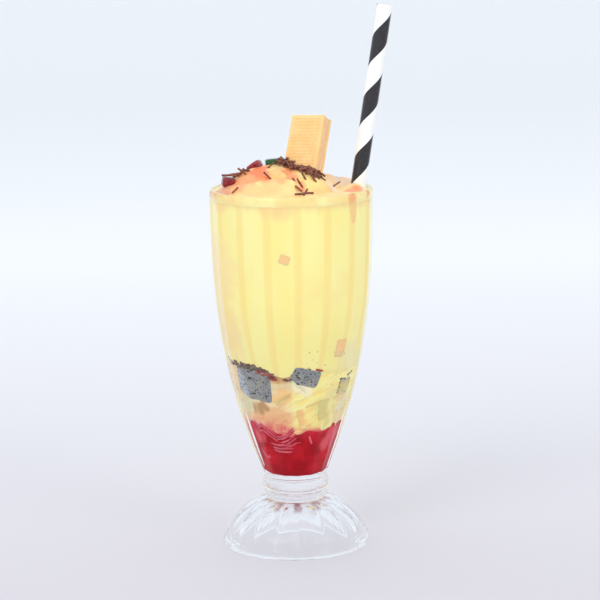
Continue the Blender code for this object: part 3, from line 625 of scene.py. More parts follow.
# ---------------------------------------------------------------- the noodle cream
# Milk and cream that has sunk between the noodles, streaked with mango and syrup. It fills
# the glass from the rose jelly up to the basil seeds.
CREAM_TOP = 98.5 * MM
CREAM_WAVES = [  # as the jelly's
    (2.6, -58, 30), (1.8, 14, 15), (-2.4, -10, 12), (1.0, 140, 35), (-0.8, 100, 15), (0.8, -140, 25)]
CREAM_STAINS = [  # spots as an angle, a height and a reach in millimetres; and the colour there
    ([(-34, 74, 9), (-14, 74, 7), (-50, 74.5, 6), (150, 78, 14)], (240, 192, 140)),
    ([(-72, 82, 8), (-78, 78, 6), (-60, 80, 5)], (222, 214, 170)),
    ([(-10, 91.5, 7), (-22, 92.5, 6), (-120, 88, 12)], (236, 212, 164)),
    ([(-20, 96, 4), (-10, 96, 4), (-2, 97, 3)], (206, 160, 108)),
    ([(-44, 80.4, 3.4), (-51, 79.4, 3.2), (-38, 79, 3.0), (-50, 77.5, 4)], (194, 152, 106)),
    ([(-20, 84, 4), (-10, 86, 5), (-14, 88, 4)], (252, 206, 140)),
    ([(6, 92.5, 5), (11.6, 93, 4), (10, 90, 5), (15, 88, 4)], (252, 240, 196)),
    ([(40, 80, 7), (48, 86, 6)], (240, 226, 154)),
    ([(68, 84, 6), (79, 76, 8), (79, 70, 6)], (238, 212, 160)),
]
CREAM_SLANT = (0, -0.5, 0)

cream_slab = wavy_slab("cream level", CREAM_TOP, CREAM_WAVES)
cream = fill("noodle_cream", ROSE_TOP - 8 * MM, CREAM_TOP + 6 * MM)
cut(cream, cream_slab, "INTERSECT")
cut(cream, rose_slab)
bpy.ops.object.shade_smooth_by_angle(angle=50 * DEGREE)


def stretched(tree, place, turn, stretch):
    """Coordinates stretched along their own axes and turned, so that a pattern on them runs in streaks."""
    return node(tree, "Mapping", {"Vector": place, "Rotation": turn, "Scale": stretch},
                vector_type="TEXTURE").outputs["Vector"]


def cream_finish():
    """Peach on the left and yellow on the right, in soft slanting streaks, and pink at the bottom."""
    made, tree, shader, place = finish("noodle cream", {
        "Roughness": 0.35, "Specular IOR Level": 0.0, "Subsurface Weight": 0.25,
        "Subsurface Radius": (1.0, 0.6, 0.3), "Subsurface Scale": 2 * MM})
    streaks = uneven(tree, stretched(tree, place, CREAM_SLANT, (3, 3, 1)), 260.0, 0.3, 0.7)
    side = ramp(tree, along(tree, place, "X"), AXIS.x - 7 * MM, AXIS.x + 3 * MM)
    peach = mixed(tree, streaks, paint(240, 200, 146), paint(252, 228, 180))
    yellow = mixed(tree, streaks, paint(253, 228, 138), paint(255, 244, 168))
    color = mixed(tree, side, peach, yellow)
    for spots, stain in CREAM_STAINS:
        color = wall_patches(tree, place, color, spots, paint(*stain))
    fine = uneven(tree, stretched(tree, place, CREAM_SLANT, (4, 4, 1)), 700.0, 0.5, 0.75)
    color = mixed(tree, fine, color, mixed(tree, 0.3, color, paint(214, 156, 96)))
    reach = ramp(tree, side, 0.0, 1.0, 77 * MM, 70 * MM, "LINEAR")
    low = ramp(tree, along(tree, place, "Z"), reach, 65 * MM)
    ragged = ramp(tree, uneven(tree, place, 260.0, 0.3, 0.6), 0.0, 1.0, 0.35, 1.0, "LINEAR")
    color = mixed(tree, reckon(tree, "MULTIPLY", low, ragged), color, paint(220, 88, 98))
    tree.links.new(color, shader.inputs["Base Color"])
    relief(tree, shader, streaks, 0.2 * MM)
    return made


serve(cream, cream_finish(), "noodle_cream", "cream_layer")

# ---------------------------------------------------------------- the fruit against the wall
# Small cubes of ripe mango, green grape and peach, cut by hand, so their sides are uneven.
# They lie against the wall, and the glass has flattened the side that shows.
FRUIT = {  # sides, angle, height, how deep, tip in degrees, rounding and slot; lengths in millimetres
    "fruit_yellow": ((8.2, 6, 11.6), 18, 74.2, 1.9, -6, 1.2, "yellow_fruit"),
    "fruit_green": ((9.2, 5.8, 18.5), 50, 75.6, 1.6, -9, 1.4, "green_fruit"),
    "peach_upper": ((6.0, 5, 5.4), -5.5, 160, 2.0, 20, 1.4, "peach"),
    "peach_lower": ((7.8, 6, 11.4), 46, 111.6, 2.4, 1, 2.6, "peach"),
}
FRUIT_COLORS = {
    "yellow_fruit": (paint(250, 208, 128), paint(254, 232, 150)),
    "green_fruit": (paint(228, 212, 136), paint(250, 232, 160)),
    "peach": (paint(244, 186, 124), paint(252, 206, 148)),
}
FRUIT_STAINS = {  # spots as an angle, a height and a reach in millimetres; and the colour there
    "yellow_fruit": ([(5, 76, 4), (6, 71, 4), (20, 68.5, 3)], (248, 198, 134)),
    "green_fruit": ([(36, 78, 5), (42, 74, 4), (40, 83, 4)], (222, 206, 134)),
    "peach": ([(46, 106.5, 4), (50, 106, 4), (-5, 157, 2)], (238, 208, 152)),
}
WALL_BITE, WALL_COLUMNS, WALL_STEP = BITE + 0.12 * MM, 96, 4 * MM
wall_room = fill("room inside the wall", WELL_FLOOR, BOWL_TOP, WALL_BITE, WALL_COLUMNS)


def against_wall(piece, angle, height, inset, tip):
    """Put a piece on the wall, leaning as the wall does and tipped in its plane."""
    height *= MM
    widening = well_radius(height + WALL_STEP) - well_radius(height - WALL_STEP)
    slope = math.atan2(widening, 2 * WALL_STEP)
    turning = Matrix.Rotation(angle * DEGREE, 4, "Z") @ Matrix.Rotation(slope, 4, "X")
    turning @= Matrix.Rotation(tip * DEGREE, 4, "Y")
    middle = at_angle(well_radius(height) - inset * MM, angle * DEGREE, height)
    piece.matrix_world = Matrix.Translation(middle) @ turning
    return settle(piece)


def bumpy(piece, size, depth, group=""):
    """Make a surface softly uneven, with bumps of a size and a depth, or only a group of its vertices."""
    texture = bpy.data.textures.new("bumps", "CLOUDS")
    texture.noise_scale = size
    texture.noise_depth = 2
    change(piece, "DISPLACE", texture=texture, strength=2 * depth, mid_level=0.5, texture_coords="LOCAL",
           vertex_group=group)


def cut_block(name, size, rounding):
    """A hand-cut block: a cube, bevelled and split finely."""
    bpy.ops.mesh.primitive_cube_add(size=1)
    piece = named(name)
    piece.scale = Vector(size) * MM
    settle(piece)
    edit(piece)
    bpy.ops.mesh.select_all(action="SELECT")
    bpy.ops.mesh.bevel(offset=rounding * MM, segments=3, affect="EDGES", profile=0.6)
    bpy.ops.mesh.select_all(action="SELECT")
    bpy.ops.mesh.subdivide(number_cuts=3, smoothness=0.2)
    settle(piece)
    bpy.ops.object.shade_smooth()
    return piece


def fruit_finish(slot):
    """Wet fruit flesh with soft, paler fibres and a stain or two."""
    made, tree, shader, place = finish(slot.replace("_", " "), {
        "Roughness": 0.3, "Specular IOR Level": 0.2, "Subsurface Weight": 0.35,
        "Subsurface Radius": (1.0, 0.6, 0.25), "Subsurface Scale": 2 * MM})
    fibres = uneven(tree, stretched(tree, place, (0, 0.3, 0), (1, 1, 3)), 520.0)
    color = mixed(tree, uneven(tree, place, 230.0, 0.3, 0.7), *FRUIT_COLORS[slot])
    color = mixed(tree, fibres, color, FRUIT_COLORS[slot][1])
    spots, stain = FRUIT_STAINS[slot]
    color = wall_patches(tree, place, color, spots, paint(*stain))
    tree.links.new(color, shader.inputs["Base Color"])
    relief(tree, shader, fibres, 0.1 * MM)
    return made


fruit_finishes = {slot: fruit_finish(slot) for slot in FRUIT_COLORS}
for name, (size, angle, height, inset, tip, rounding, slot) in FRUIT.items():
    piece = cut_block(name + "_cube", size, rounding)
    bumpy(piece, 4 * MM, 0.25 * MM)
    against_wall(piece, angle, height, inset, tip)
    cut(piece, wall_room, "INTERSECT")
    bpy.ops.object.shade_smooth_by_angle(angle=50 * DEGREE)
    serve(piece, fruit_finishes[slot], slot, name)

# ---------------------------------------------------------------- the basil seeds
# Basil seeds soaked in water: each black seed swells a grey halo of jelly, and the halos
# stick together in clumps like frogspawn. Three clumps lie against the wall on the cream.
CLUMPS = {  # half sides, angle, height, how deep, tip in degrees and number of halos; lengths in millimetres
    "basil_left": ((11.4, 4.8, 9.4), -50.5, 92.5, 2.2, 12, 130),
    "basil_middle": ((7.4, 3.8, 5.1), 13, 96.9, 1.8, 18, 84),
    "basil_right": ((4.2, 2.8, 4.7), 67, 89.6, 1.4, 0, 11),
}
HALO_RADIUS, SEED_APART = 1.2 * MM, 1.25 * MM
HALO_TURN, HALO_VOXEL = 2.4, 0.35 * MM
SEED_SIZE, SEED_OUT = (0.36, 0.16, 0.64), 0.25 * MM


def joined(name, copies):
    """Join copies into one piece."""
    hold(*copies)
    bpy.ops.object.join()
    return settle(named(name))


def copied(template, place):
    """A copy of a template with its own mesh, put in a place."""
    made = template.copy()
    made.data = template.data.copy()
    bpy.context.collection.objects.link(made)
    made.matrix_world = place
    return made


def clump(name, size, angle, height, inset, tip, halos):
    """A clump of halos: a core with many small balls over it, melted together."""
    bpy.ops.mesh.primitive_ico_sphere_add(subdivisions=2, radius=HALO_RADIUS)
    ball = bpy.context.object
    draw_random = random.Random(halos)
    copies = []
    for step in range(halos):
        level = 1 - 2 * (step + 0.5) / halos
        flat = math.sqrt(1 - level ** 2)
        way = Vector((flat * math.cos(step * HALO_TURN), flat * math.sin(step * HALO_TURN), level))
        boxy = 1 / max(abs(way.x), abs(way.y), abs(way.z)) ** 0.7
        spot = Vector(way[i] * (size[i] * MM * boxy - HALO_RADIUS) for i in range(3))
        scale = Matrix.Scale(draw_random.uniform(0.8, 1.15), 4)
        copies.append(copied(ball, Matrix.Translation(spot) @ scale))
    core = cut_block(name, [2 * side - 0.5 for side in size], 0.55 * min(size))
    piece = joined(name, [core] + copies)
    discard(ball)
    change(piece, "REMESH", mode="VOXEL", voxel_size=HALO_VOXEL)
    change(piece, "SMOOTH", factor=0.5, iterations=8)
    against_wall(piece, angle, height, inset, tip)
    cut(piece, wall_room, "INTERSECT")
    bpy.ops.object.shade_smooth_by_angle(angle=60 * DEGREE)
    return piece


def seeds_of(name, size, angle, height, tip, halos):
    """The black seeds of a clump: they show on the side that lies against the wall."""
    bpy.ops.mesh.primitive_ico_sphere_add(subdivisions=1, radius=MM)
    seed = bpy.context.object
    draw_random = random.Random(halos + 1)
    copies, spots = [], []
    for _ in range(halos):
        across, up = draw_random.uniform(-1, 1), draw_random.uniform(-1, 1)
        if abs(across) ** 2.6 + abs(up) ** 2.6 > 0.9:
            continue
        spread = Matrix.Rotation(-tip * DEGREE, 2) @ Vector((across * size[0], up * size[2]))
        spot_angle = angle + math.degrees(spread.x * MM / well_radius(height * MM))
        spot = on_wall(spot_angle, height + spread.y, -SEED_OUT)
        if any((spot - other).length <= SEED_APART for other in spots):
            continue
        spots.append(spot)
        turn = Matrix.Rotation(spot_angle * DEGREE, 4, "Z")
        turn @= Matrix.Rotation(draw_random.uniform(0, math.pi), 4, "Y") @ Matrix.Diagonal((*SEED_SIZE, 1))
        turn @= Matrix.Scale(draw_random.uniform(0.6, 1.35), 4)
        copies.append(copied(seed, Matrix.Translation(spot) @ turn))
    piece = joined(name, copies)
    discard(seed)
    bpy.ops.object.shade_smooth()
    return piece


def halo_finish():
    """Grey jelly with painted shade that darkens it towards the rims of small round cells, as between halos;
    paler at the left, and stained yellow at the right.
    """
    made, tree, shader, place = finish("basil jelly", {
        "Roughness": 0.3, "Specular IOR Level": 0.1, "Subsurface Weight": 0.3,
        "Subsurface Radius": (0.9, 0.9, 0.9), "Subsurface Scale": 1 * MM})
    # Painted shade: paler in the middle of each small cell and darker towards its rim, as between halos.
    cells = node(tree, "TexVoronoi", {"Vector": place, "Scale": 520.0}).outputs["Distance"]
    ball = ramp(tree, cells, 0.15, 0.75, kind="LINEAR")
    color = mixed(tree, ball, paint(158, 160, 159), paint(130, 132, 133))
    color = mixed(tree, uneven(tree, place, 160.0), color, paint(158, 157, 148))
    color = wall_patches(tree, place, color, [(67, 90, 5), (70, 87, 5)], paint(214, 198, 130), 2 * MM)
    color = wall_patches(tree, place, color, [(-72, 94, 8), (-68, 86, 6)], paint(182, 187, 194))
    tree.links.new(color, shader.inputs["Base Color"])
    return made


def seed_finish():
    """Black seed coats with a blue-grey bloom."""
    made, tree, shader, place = finish("basil seeds", {"Roughness": 0.3, "Specular IOR Level": 0.3})
    color = mixed(tree, uneven(tree, place, 600.0), paint(30, 30, 34), paint(72, 72, 76))
    tree.links.new(color, shader.inputs["Base Color"])
    return made


basil_jelly, seed_coat = halo_finish(), seed_finish()
seed_groups = []
for name, (size, angle, height, inset, tip, halos) in CLUMPS.items():
    serve(clump(name + "_clump", size, angle, height, inset, tip, halos), basil_jelly, "basil_seed", name)
    seed_groups.append(seeds_of(name + "_seeds", size, angle, height, tip, halos))
serve(joined("basil_seeds", seed_groups), seed_coat, "basil_seed")

# ---------------------------------------------------------------- the mango drink
# Milk blended with mango pulp: smooth, thick and pale yellow, with a little peach colour
# towards the top, where syrup has run down. It is poured in over all the rest.
DRINK_TOP = 187.4 * MM
STRAW_RADIUS, STRAW_WALL, STRAW_LENGTH, STRAW_LEAN = 4 * MM, 0.45 * MM, 197 * MM, 8.9 * DEGREE
STRAW_HIGH = AXIS + Vector((50.1, 2, 286.8)) * MM
STRAW_WAY = Vector((math.sin(STRAW_LEAN), 0, math.cos(STRAW_LEAN)))
STRAW_LOW = STRAW_HIGH - STRAW_WAY * STRAW_LENGTH

drink = fill("mango_milk", CREAM_TOP - 8 * MM, DRINK_TOP)
cut(drink, cream_slab)
bpy.ops.mesh.primitive_cylinder_add(vertices=32, radius=STRAW_RADIUS - STRAW_WALL / 2, depth=STRAW_LENGTH,
                                    location=(STRAW_LOW + STRAW_HIGH) / 2, rotation=(0, STRAW_LEAN, 0))
straw_room = settle(named("room of the straw"))
cut(drink, straw_room)
cut(cream, straw_room)
hold(drink)
bpy.ops.object.shade_smooth_by_angle(angle=50 * DEGREE)


def drink_finish():
    """Pale yellow, with painted shade that deepens it where the glass's panels meet, peach tints, and syrup
    run down from the top.
    """
    made, tree, shader, place = finish("mango milk", {
        "Roughness": 0.3, "Specular IOR Level": 0.15, "Subsurface Weight": 0.3,
        "Subsurface Radius": (1.0, 0.8, 0.4), "Subsurface Scale": 4 * MM})
    clouds = uneven(tree, stretched(tree, place, (0, 0, 0), (1, 1, 3.3)), 60.0, 0.3, 0.7)
    color = mixed(tree, clouds, paint(255, 237, 151), paint(255, 242, 165))
    # Painted shade: a deeper yellow along each panel edge of the glass, standing in for the shade its ridges
    # cast on the drink seen through them.
    turn, wave = wave_round(tree, place, PANELS, PANEL_EDGE)
    color = mixed(tree, ramp(tree, wave, 0.45, 1.0, end=0.5), color, paint(252, 220, 134))
    color = wall_patches(tree, place, color, [(-75, 150, 26), (-68, 118, 20)], paint(254, 226, 160), 20 * MM)
    color = mixed(tree, uneven(tree, place, 24.0, 0.52, 0.8), color, paint(253, 226, 152))
    rising = height_share(tree, place, 120 * MM, 240 * MM)
    runs = node(tree, "CombineXYZ", {"X": turn, "Z": rising}).outputs[0]
    run = node(tree, "TexNoise", {"Vector": runs, "Scale": 3.2, "Detail": 2.0}).outputs["Fac"]
    reach = ramp(tree, run, 0.3, 0.7, 185 * MM, 177 * MM, "LINEAR")
    past = reckon(tree, "SUBTRACT", along(tree, place, "Z"), reach)
    color = mixed(tree, ramp(tree, past, 0.0, 8 * MM), color, paint(254, 216, 148))
    drip = [(50 + step / 8, 188 - 1.5 * step, 4.0 - 0.32 * step) for step in range(8)]
    color = wall_patches(tree, place, color, drip, paint(251, 208, 142), 1.5 * MM)
    low = [(60, 106, 12), (75, 100, 9), (-150, 104, 12)]
    color = wall_patches(tree, place, color, low, paint(246, 232, 168), 6 * MM)
    tree.links.new(color, shader.inputs["Base Color"])
    relief(tree, shader, clouds, 0.2 * MM)
    return made


serve(drink, drink_finish(), "mango_drink", "mango_drink")

# ---------------------------------------------------------------- bits in the drink
# Scraps of candied fruit that have sunk onto the basil seeds, dark red, brown and green, and
# single basil seeds that drift in the drink.
SCRAP_LINE = [  # angles in degrees and heights in millimetres
    (-84, 103), (-66, 101.8), (-52, 101.5), (-42, 101.2), (-32, 99.8), (-21, 97.4)]


def scraps(name, spots, size, seed):
    """Small irregular scraps against the wall, joined."""
    bpy.ops.mesh.primitive_ico_sphere_add(subdivisions=2, radius=MM)
    scrap = bpy.context.object
    bumpy(scrap, 0.8 * MM, 0.3 * MM)
    draw_random = random.Random(seed)
    copies = []
    for angle, height in spots:
        sides = [side * draw_random.uniform(0.7, 1.3) for side in size]
        turn = Matrix.Rotation(angle * DEGREE, 4, "Z")
        turn @= Matrix.Rotation(draw_random.uniform(-0.6, 0.6), 4, "Y") @ Matrix.Diagonal((*sides, 1))
        copies.append(copied(scrap, Matrix.Translation(on_wall(angle, height, 0.1 * MM)) @ turn))
    piece = joined(name, copies)
    discard(scrap)
    bpy.ops.object.shade_smooth()
    return piece


def scrap_finish(name, first, second):
    """Dark candied fruit, uneven in colour."""
    made, tree, shader, place = finish(name, {"Roughness": 0.4, "Specular IOR Level": 0.2})
    tree.links.new(mixed(tree, uneven(tree, place, 500.0), first, second), shader.inputs["Base Color"])
    relief(tree, shader, uneven(tree, place, 900.0), 0.2 * MM)
    return made


def along_line(draw_random, line, count, spread):
    """Spots strewn along a line of (angle, height) points."""
    spots = []
    for step in range(count):
        share = step / (count - 1) * (len(line) - 1)
        index = min(int(share), len(line) - 2)
        start, end, part = line[index], line[index + 1], share - index
        spots.append((start[0] + (end[0] - start[0]) * part + draw_random.uniform(-2, 2),
                      start[1] + (end[1] - start[1]) * part + draw_random.uniform(-spread, spread)))
    return spots


scrap_draw = random.Random(21)
dark_spots = along_line(scrap_draw, SCRAP_LINE, 76, 1.4)
dark_spots += [(-9, 95.6), (-6, 95.2), (-3, 95.8), (59, 93.5), (60, 91.5)]
red_spots = along_line(scrap_draw, [(-38, 100), (-21, 97)], 12, 1.2) + [(24, 100.6), (28, 100)]
green_spots = along_line(scrap_draw, [(-52, 102), (-40, 101.2)], 8, 1.0)
green_spots += [(66, 95), (71, 95.6), (75, 96.4)]
serve(scraps("dark_scraps", dark_spots, (1.3, 0.45, 0.9), 1),
      scrap_finish("dark scraps", paint(96, 66, 62), paint(140, 112, 98)), "candied_cherry")
serve(scraps("red_scraps", red_spots, (1.4, 0.45, 1.0), 2),
      scrap_finish("red scraps", paint(150, 58, 60), paint(190, 96, 76)), "candied_cherry")
serve(scraps("green_scraps", green_spots, (1.4, 0.45, 0.9), 3),
      scrap_finish("green scraps", paint(92, 108, 84), paint(140, 152, 116)), "green_jelly")

drift_draw = random.Random(8)
drift_spots = [(drift_draw.uniform(90, 270), drift_draw.triangular(70, 116, 98)) for _ in range(26)]
drift_spots += [(drift_draw.uniform(35, 85), drift_draw.uniform(84, 112)) for _ in range(10)]
drift_spots += [(9, 110.3), (14, 110.2), (22, 110.4), (18, 106.2), (7, 105), (12, 104.6), (23, 104.3),
                (31, 102.8), (-22, 106.4), (63, 107.8), (43, 91.6), (36, 92)]
serve(scraps("drifting_seeds", drift_spots, (0.42, 0.3, 0.36), 4),
      scrap_finish("drifting seeds", paint(136, 128, 104), paint(180, 170, 132)), "basil_seed")

# ---------------------------------------------------------------- the whipped cream
# A soft heap of cream and mango spooned onto the drink: a scoop with a folded lip in front
# and a dollop behind on the right. Red syrup has run into its folds.
HEAP_BOTTOM, HEAP_EDGE = 186.9 * MM, 190.9 * MM
HEAP_RINGS, HEAP_COLUMNS = 56, 180
HEAP_RISE, HEAP_MIDDLE, HEAP_REACH = 13.2, (-7, 3), (33, 31)  # millimetres, as down to the lumps
HEAP_ROUND, HEAP_LEVEL_FROM, HEAP_LEVEL_TO, FOLD_RISE, FOLD_TWIST = 0.9, 35, 39.7, 0.4, 6
LIP_FRONT, LIP_BACK, CREASE_DEPTH, CREASE_OFF, CREASE_WIDTH = 8, 2.2, 0.6, 4.6, 2.4
LIP = [  # angle in degrees, radius and rise
    (-90, 37, 0), (-75, 36, 0.9), (-65, 34, 1.7), (-50, 30, 2.6), (-40, 27, 2.8), (-28, 24.5, 3.2),
    (-8, 22, 4.2), (8, 22.5, 3.4), (16, 27, 2.6), (26, 31, 1.0), (38, 34, 0)]
LUMPS = [  # x, y, rise and width: the dollop and the knob at the straw, then the scoop's lumps and hollows
    (27, 13, 4.6, 10), (33.5, -3.5, 3.0, 6), (17.5, 4, -1.6, 4.5), (22, -8, -0.5, 4),
    (-6.5, -13.5, 1.0, 3.6), (12, -9.5, 2.2, 7), (-1.5, -10, -1.1, 2.7), (0.5, -15, -1.1, 2.7),
    (2.5, -19.5, -0.9, 2.7), (-15, -9, -0.7, 3.4), (-23, -7, 0.7, 4), (-20, 14, 0.8, 6),
    (2, 22, -1.0, 5), (14, 24, 0.8, 6), (-28, 14, -0.8, 5)]


def hump(off, width):
    """1 in the middle, falling smoothly to 0 at a few widths off it."""
    return math.exp(-(off / width) ** 2)


def lip_crest(angle):
    """The radius of the lip's crest at an angle, and how far it rises there."""
    for start, end in zip(LIP, LIP[1:]):
        share = (angle / DEGREE - start[0]) / (end[0] - start[0])
        if 0 <= share <= 1:
            return [a + (b - a) * share for a, b in zip(start, end)][1:]
    return LIP[0][1:]


def heap_height(place):
    """The height of the cream: a scoop with twisted folds, the folded lip with its crease, and the lumps."""
    x, y = (place.x - AXIS.x) / MM, place.y / MM
    aside = (x - HEAP_MIDDLE[0]) / HEAP_REACH[0], (y - HEAP_MIDDLE[1]) / HEAP_REACH[1]
    scoop = max(0.0, 1 - aside[0] ** 2 - aside[1] ** 2) ** HEAP_ROUND
    radius, angle = math.hypot(x, y), math.atan2(x, -y)
    twist = 3 * math.atan2(y - HEAP_MIDDLE[1], x - HEAP_MIDDLE[0]) + radius / FOLD_TWIST
    fold = math.sin(twist) * 4 * scoop * (1 - scoop)
    crest, rise = lip_crest(angle)
    past = radius - crest
    lip = hump(past, LIP_FRONT if past > 0 else LIP_BACK)
    lip -= CREASE_DEPTH * hump(past + CREASE_OFF, CREASE_WIDTH)
    lumps = sum(lump * hump(math.hypot(x - at_x, y - at_y), width) for at_x, at_y, lump, width in LUMPS)
    level = 1 - soft_step(HEAP_LEVEL_FROM, HEAP_LEVEL_TO, radius)
    return HEAP_EDGE + (HEAP_RISE * scoop + FOLD_RISE * fold + rise * lip + lumps) * level * MM


edge = well_radius(HEAP_EDGE) + BITE + 0.03 * MM
heap = lathe("whipped_cream", [(0, HEAP_BOTTOM), (edge, HEAP_BOTTOM)] + [
    (edge * (1 - ring / HEAP_RINGS), HEAP_EDGE) for ring in range(HEAP_RINGS + 1)], HEAP_COLUMNS)
for vert in heap.data.vertices:
    if vert.co.z > HEAP_EDGE - 0.1 * MM:
        vert.co.z = heap_height(vert.co)
edit(heap)
pick(heap, lambda place: around(place)[0] < 37 * MM and place.z > HEAP_EDGE - MM)
bpy.ops.object.vertex_group_assign_new()
settle(heap)
bumpy(heap, 6 * MM, 0.35 * MM, "Group")
bumpy(heap, 2.0 * MM, 0.12 * MM, "Group")
hold(heap)
bpy.ops.object.shade_smooth_by_angle(angle=60 * DEGREE)

HEAP_STAINS = [  # spots as x, y, height and reach in millimetres from the glass's axis; and the colour there
    ([(10, -13, 199, 12), (5, -26, 194, 8)], (253, 220, 144)),
    ([(-22, -11, 199, 11), (-28, -11, 196, 9), (-24, -20, 194, 6), (0, 14, 203, 9)], (247, 168, 116)),
    ([(-35, -12, 193, 8), (-32, -17, 192.6, 6), (-39, -4, 191, 5), (-34, 6, 193, 6)], (228, 160, 116)),
    ([(-15, -11, 200, 6), (-18, -7, 202, 7), (-15, -3.5, 203, 6), (-12, -15, 200, 4)], (246, 130, 80)),
    ([(-8, -15, 201, 5)], (250, 192, 120)),
    ([(-1, -8, 201, 5.5), (0.5, -14, 199, 5), (3.5, -20, 196, 5), (6, -25, 194, 4)], (248, 158, 106)),
    ([(-30, -18, 194, 4), (-21, -20.5, 197, 5), (-12, -22, 199, 5), (-5, -22.5, 199, 5)], (247, 180, 122)),
    ([(-21, -24.5, 193, 7), (-10, -26.5, 194.6, 7)], (250, 202, 138)),
    ([(22, -8, 192.5, 5.5)], (250, 226, 190)),
    ([(26, 7, 195, 8), (30, 10, 195, 8), (33, 0, 195, 6)], (242, 212, 178)),
    ([(35, -9.5, 192, 5), (37, -12, 191, 3.5), (31, -12, 191.5, 4)], (244, 160, 110)),
    ([(30.5, -26, 189.5, 4)], (248, 182, 122)),
]


def heap_finish():
    """Cream with mango on the right, blushed with syrup on the left and in its folds."""
    made, tree, shader, place = finish("whipped cream", {
        "Roughness": 0.3, "Specular IOR Level": 0.35, "Subsurface Weight": 0.3,
        "Subsurface Radius": (1.0, 0.7, 0.4), "Subsurface Scale": 2.5 * MM})
    color = mixed(tree, uneven(tree, place, 90.0), paint(250, 202, 132), paint(253, 216, 150))
    side = height_share(tree, place, HEAP_EDGE + 0.6 * MM, HEAP_EDGE - 0.2 * MM)
    smeared = mixed(tree, uneven(tree, place, 55.0, 0.4, 0.6), paint(253, 224, 150), paint(255, 238, 166))
    color = mixed(tree, side, color, smeared)
    for spots, stain in HEAP_STAINS:
        spots = [(AXIS + Vector(spot[:3]) * MM, spot[3] * MM) for spot in spots]
        color = patched(tree, place, color, spots, paint(*stain), 5 * MM)
    tree.links.new(color, shader.inputs["Base Color"])
    relief(tree, shader, uneven(tree, place, 260.0, 0.2, 0.8), 0.4 * MM)
    return made


cut(heap, straw_room)
serve(heap, heap_finish(), "whipped_cream", "cream_top")

# ---------------------------------------------------------------- the candied fruit
# Two cubes of candied cherry and a slip of green jelly, pushed into the cream. They are
# soaked in sugar, so light enters them, and they shine.
TOPPINGS = {  # sides, turns in degrees, rounding, how far from its solid's middle, and slot; in millimetres
    "cherry_left": ((6.6, 6, 5), (4, 8, 12), 1.4, (0, 0, 0), "candied_cherry"),
    "cherry_upper": ((8, 6, 5.8), (0, -32, -14), 1.5, (0, -2, -1.2), "candied_cherry"),
    "green_jelly": ((8.4, 4.6, 3.2), (0, -4, 10), 1.2, (0, 0, -0.3), "green_jelly"),
}


def candied_finish(name, first, second, light):
    """Glossy sugared fruit that lets light in, a little uneven in colour and surface."""
    made, tree, shader, place = finish(name, {
        "Roughness": 0.12, "Subsurface Weight": 0.5, "Subsurface Radius": light, "Subsurface Scale": 3 * MM,
        "Coat Weight": 0.5, "Coat Roughness": 0.1})
    tree.links.new(mixed(tree, uneven(tree, place, 260.0), first, second), shader.inputs["Base Color"])
    relief(tree, shader, uneven(tree, place, 420.0, 0.2, 0.8), 0.3 * MM)
    return made


candied = {
    "candied_cherry": candied_finish("candied cherry", paint(108, 5, 22), paint(152, 18, 38), (1, 0.1, 0.1)),
    "green_jelly": candied_finish("green jelly", paint(14, 72, 30), paint(44, 112, 50), (0.2, 1, 0.2)),
}
for name, (size, turn, rounding, off, slot) in TOPPINGS.items():
    piece = cut_block(name + "_piece", size, rounding)
    bumpy(piece, 3.5 * MM, 0.4 * MM)
    low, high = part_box(name)
    turning = Matrix.Rotation(turn[2] * DEGREE, 4, "Z") @ Matrix.Rotation(turn[0] * DEGREE, 4, "X")
    piece.matrix_world = (Matrix.Translation((low + high) / 2 + Vector(off) * MM) @ turning
                          @ Matrix.Rotation(turn[1] * DEGREE, 4, "Y"))
    serve(settle(piece), candied[slot], slot, name)

# ---------------------------------------------------------------- the wafer
# A wafer biscuit: two sheets baked in a waffle iron, which pressed a fine grid into them,
# with sugar cream between. It stands in the heap, leaning back.
WAFER_WIDTH, WAFER_LENGTH, WAFER_SHEET, WAFER_FILLING = 19.3 * MM, 48 * MM, 2.2 * MM, 4.6 * MM
WAFER_HIGH = AXIS + Vector((11.5, 13, 227.3)) * MM
WAFER_LEAN, WAFER_TILT, WAFER_TURN = 23 * DEGREE, 10.7 * DEGREE, 31 * DEGREE
GRID_CELLS, GRID_RIDGE, GRID_SLOPE, GRID_DEPTH = (11, 27), 0.22 * MM, 0.2 * MM, 0.28 * MM
SHEET_ROUND, FILLING_INSET, FILLING_OVER, FILLING_CUTS = 0.45 * MM, 0.4 * MM, 0.05 * MM, 24


def hang(piece):
    """Stand a wafer piece in the heap, from its own frame, in which it hangs down from the origin."""
    turning = Matrix.Rotation(WAFER_TILT, 4, "Y") @ Matrix.Rotation(-WAFER_LEAN, 4, "X")
    piece.matrix_world = Matrix.Translation(WAFER_HIGH) @ turning @ Matrix.Rotation(-WAFER_TURN, 4, "Z")
    return settle(piece)


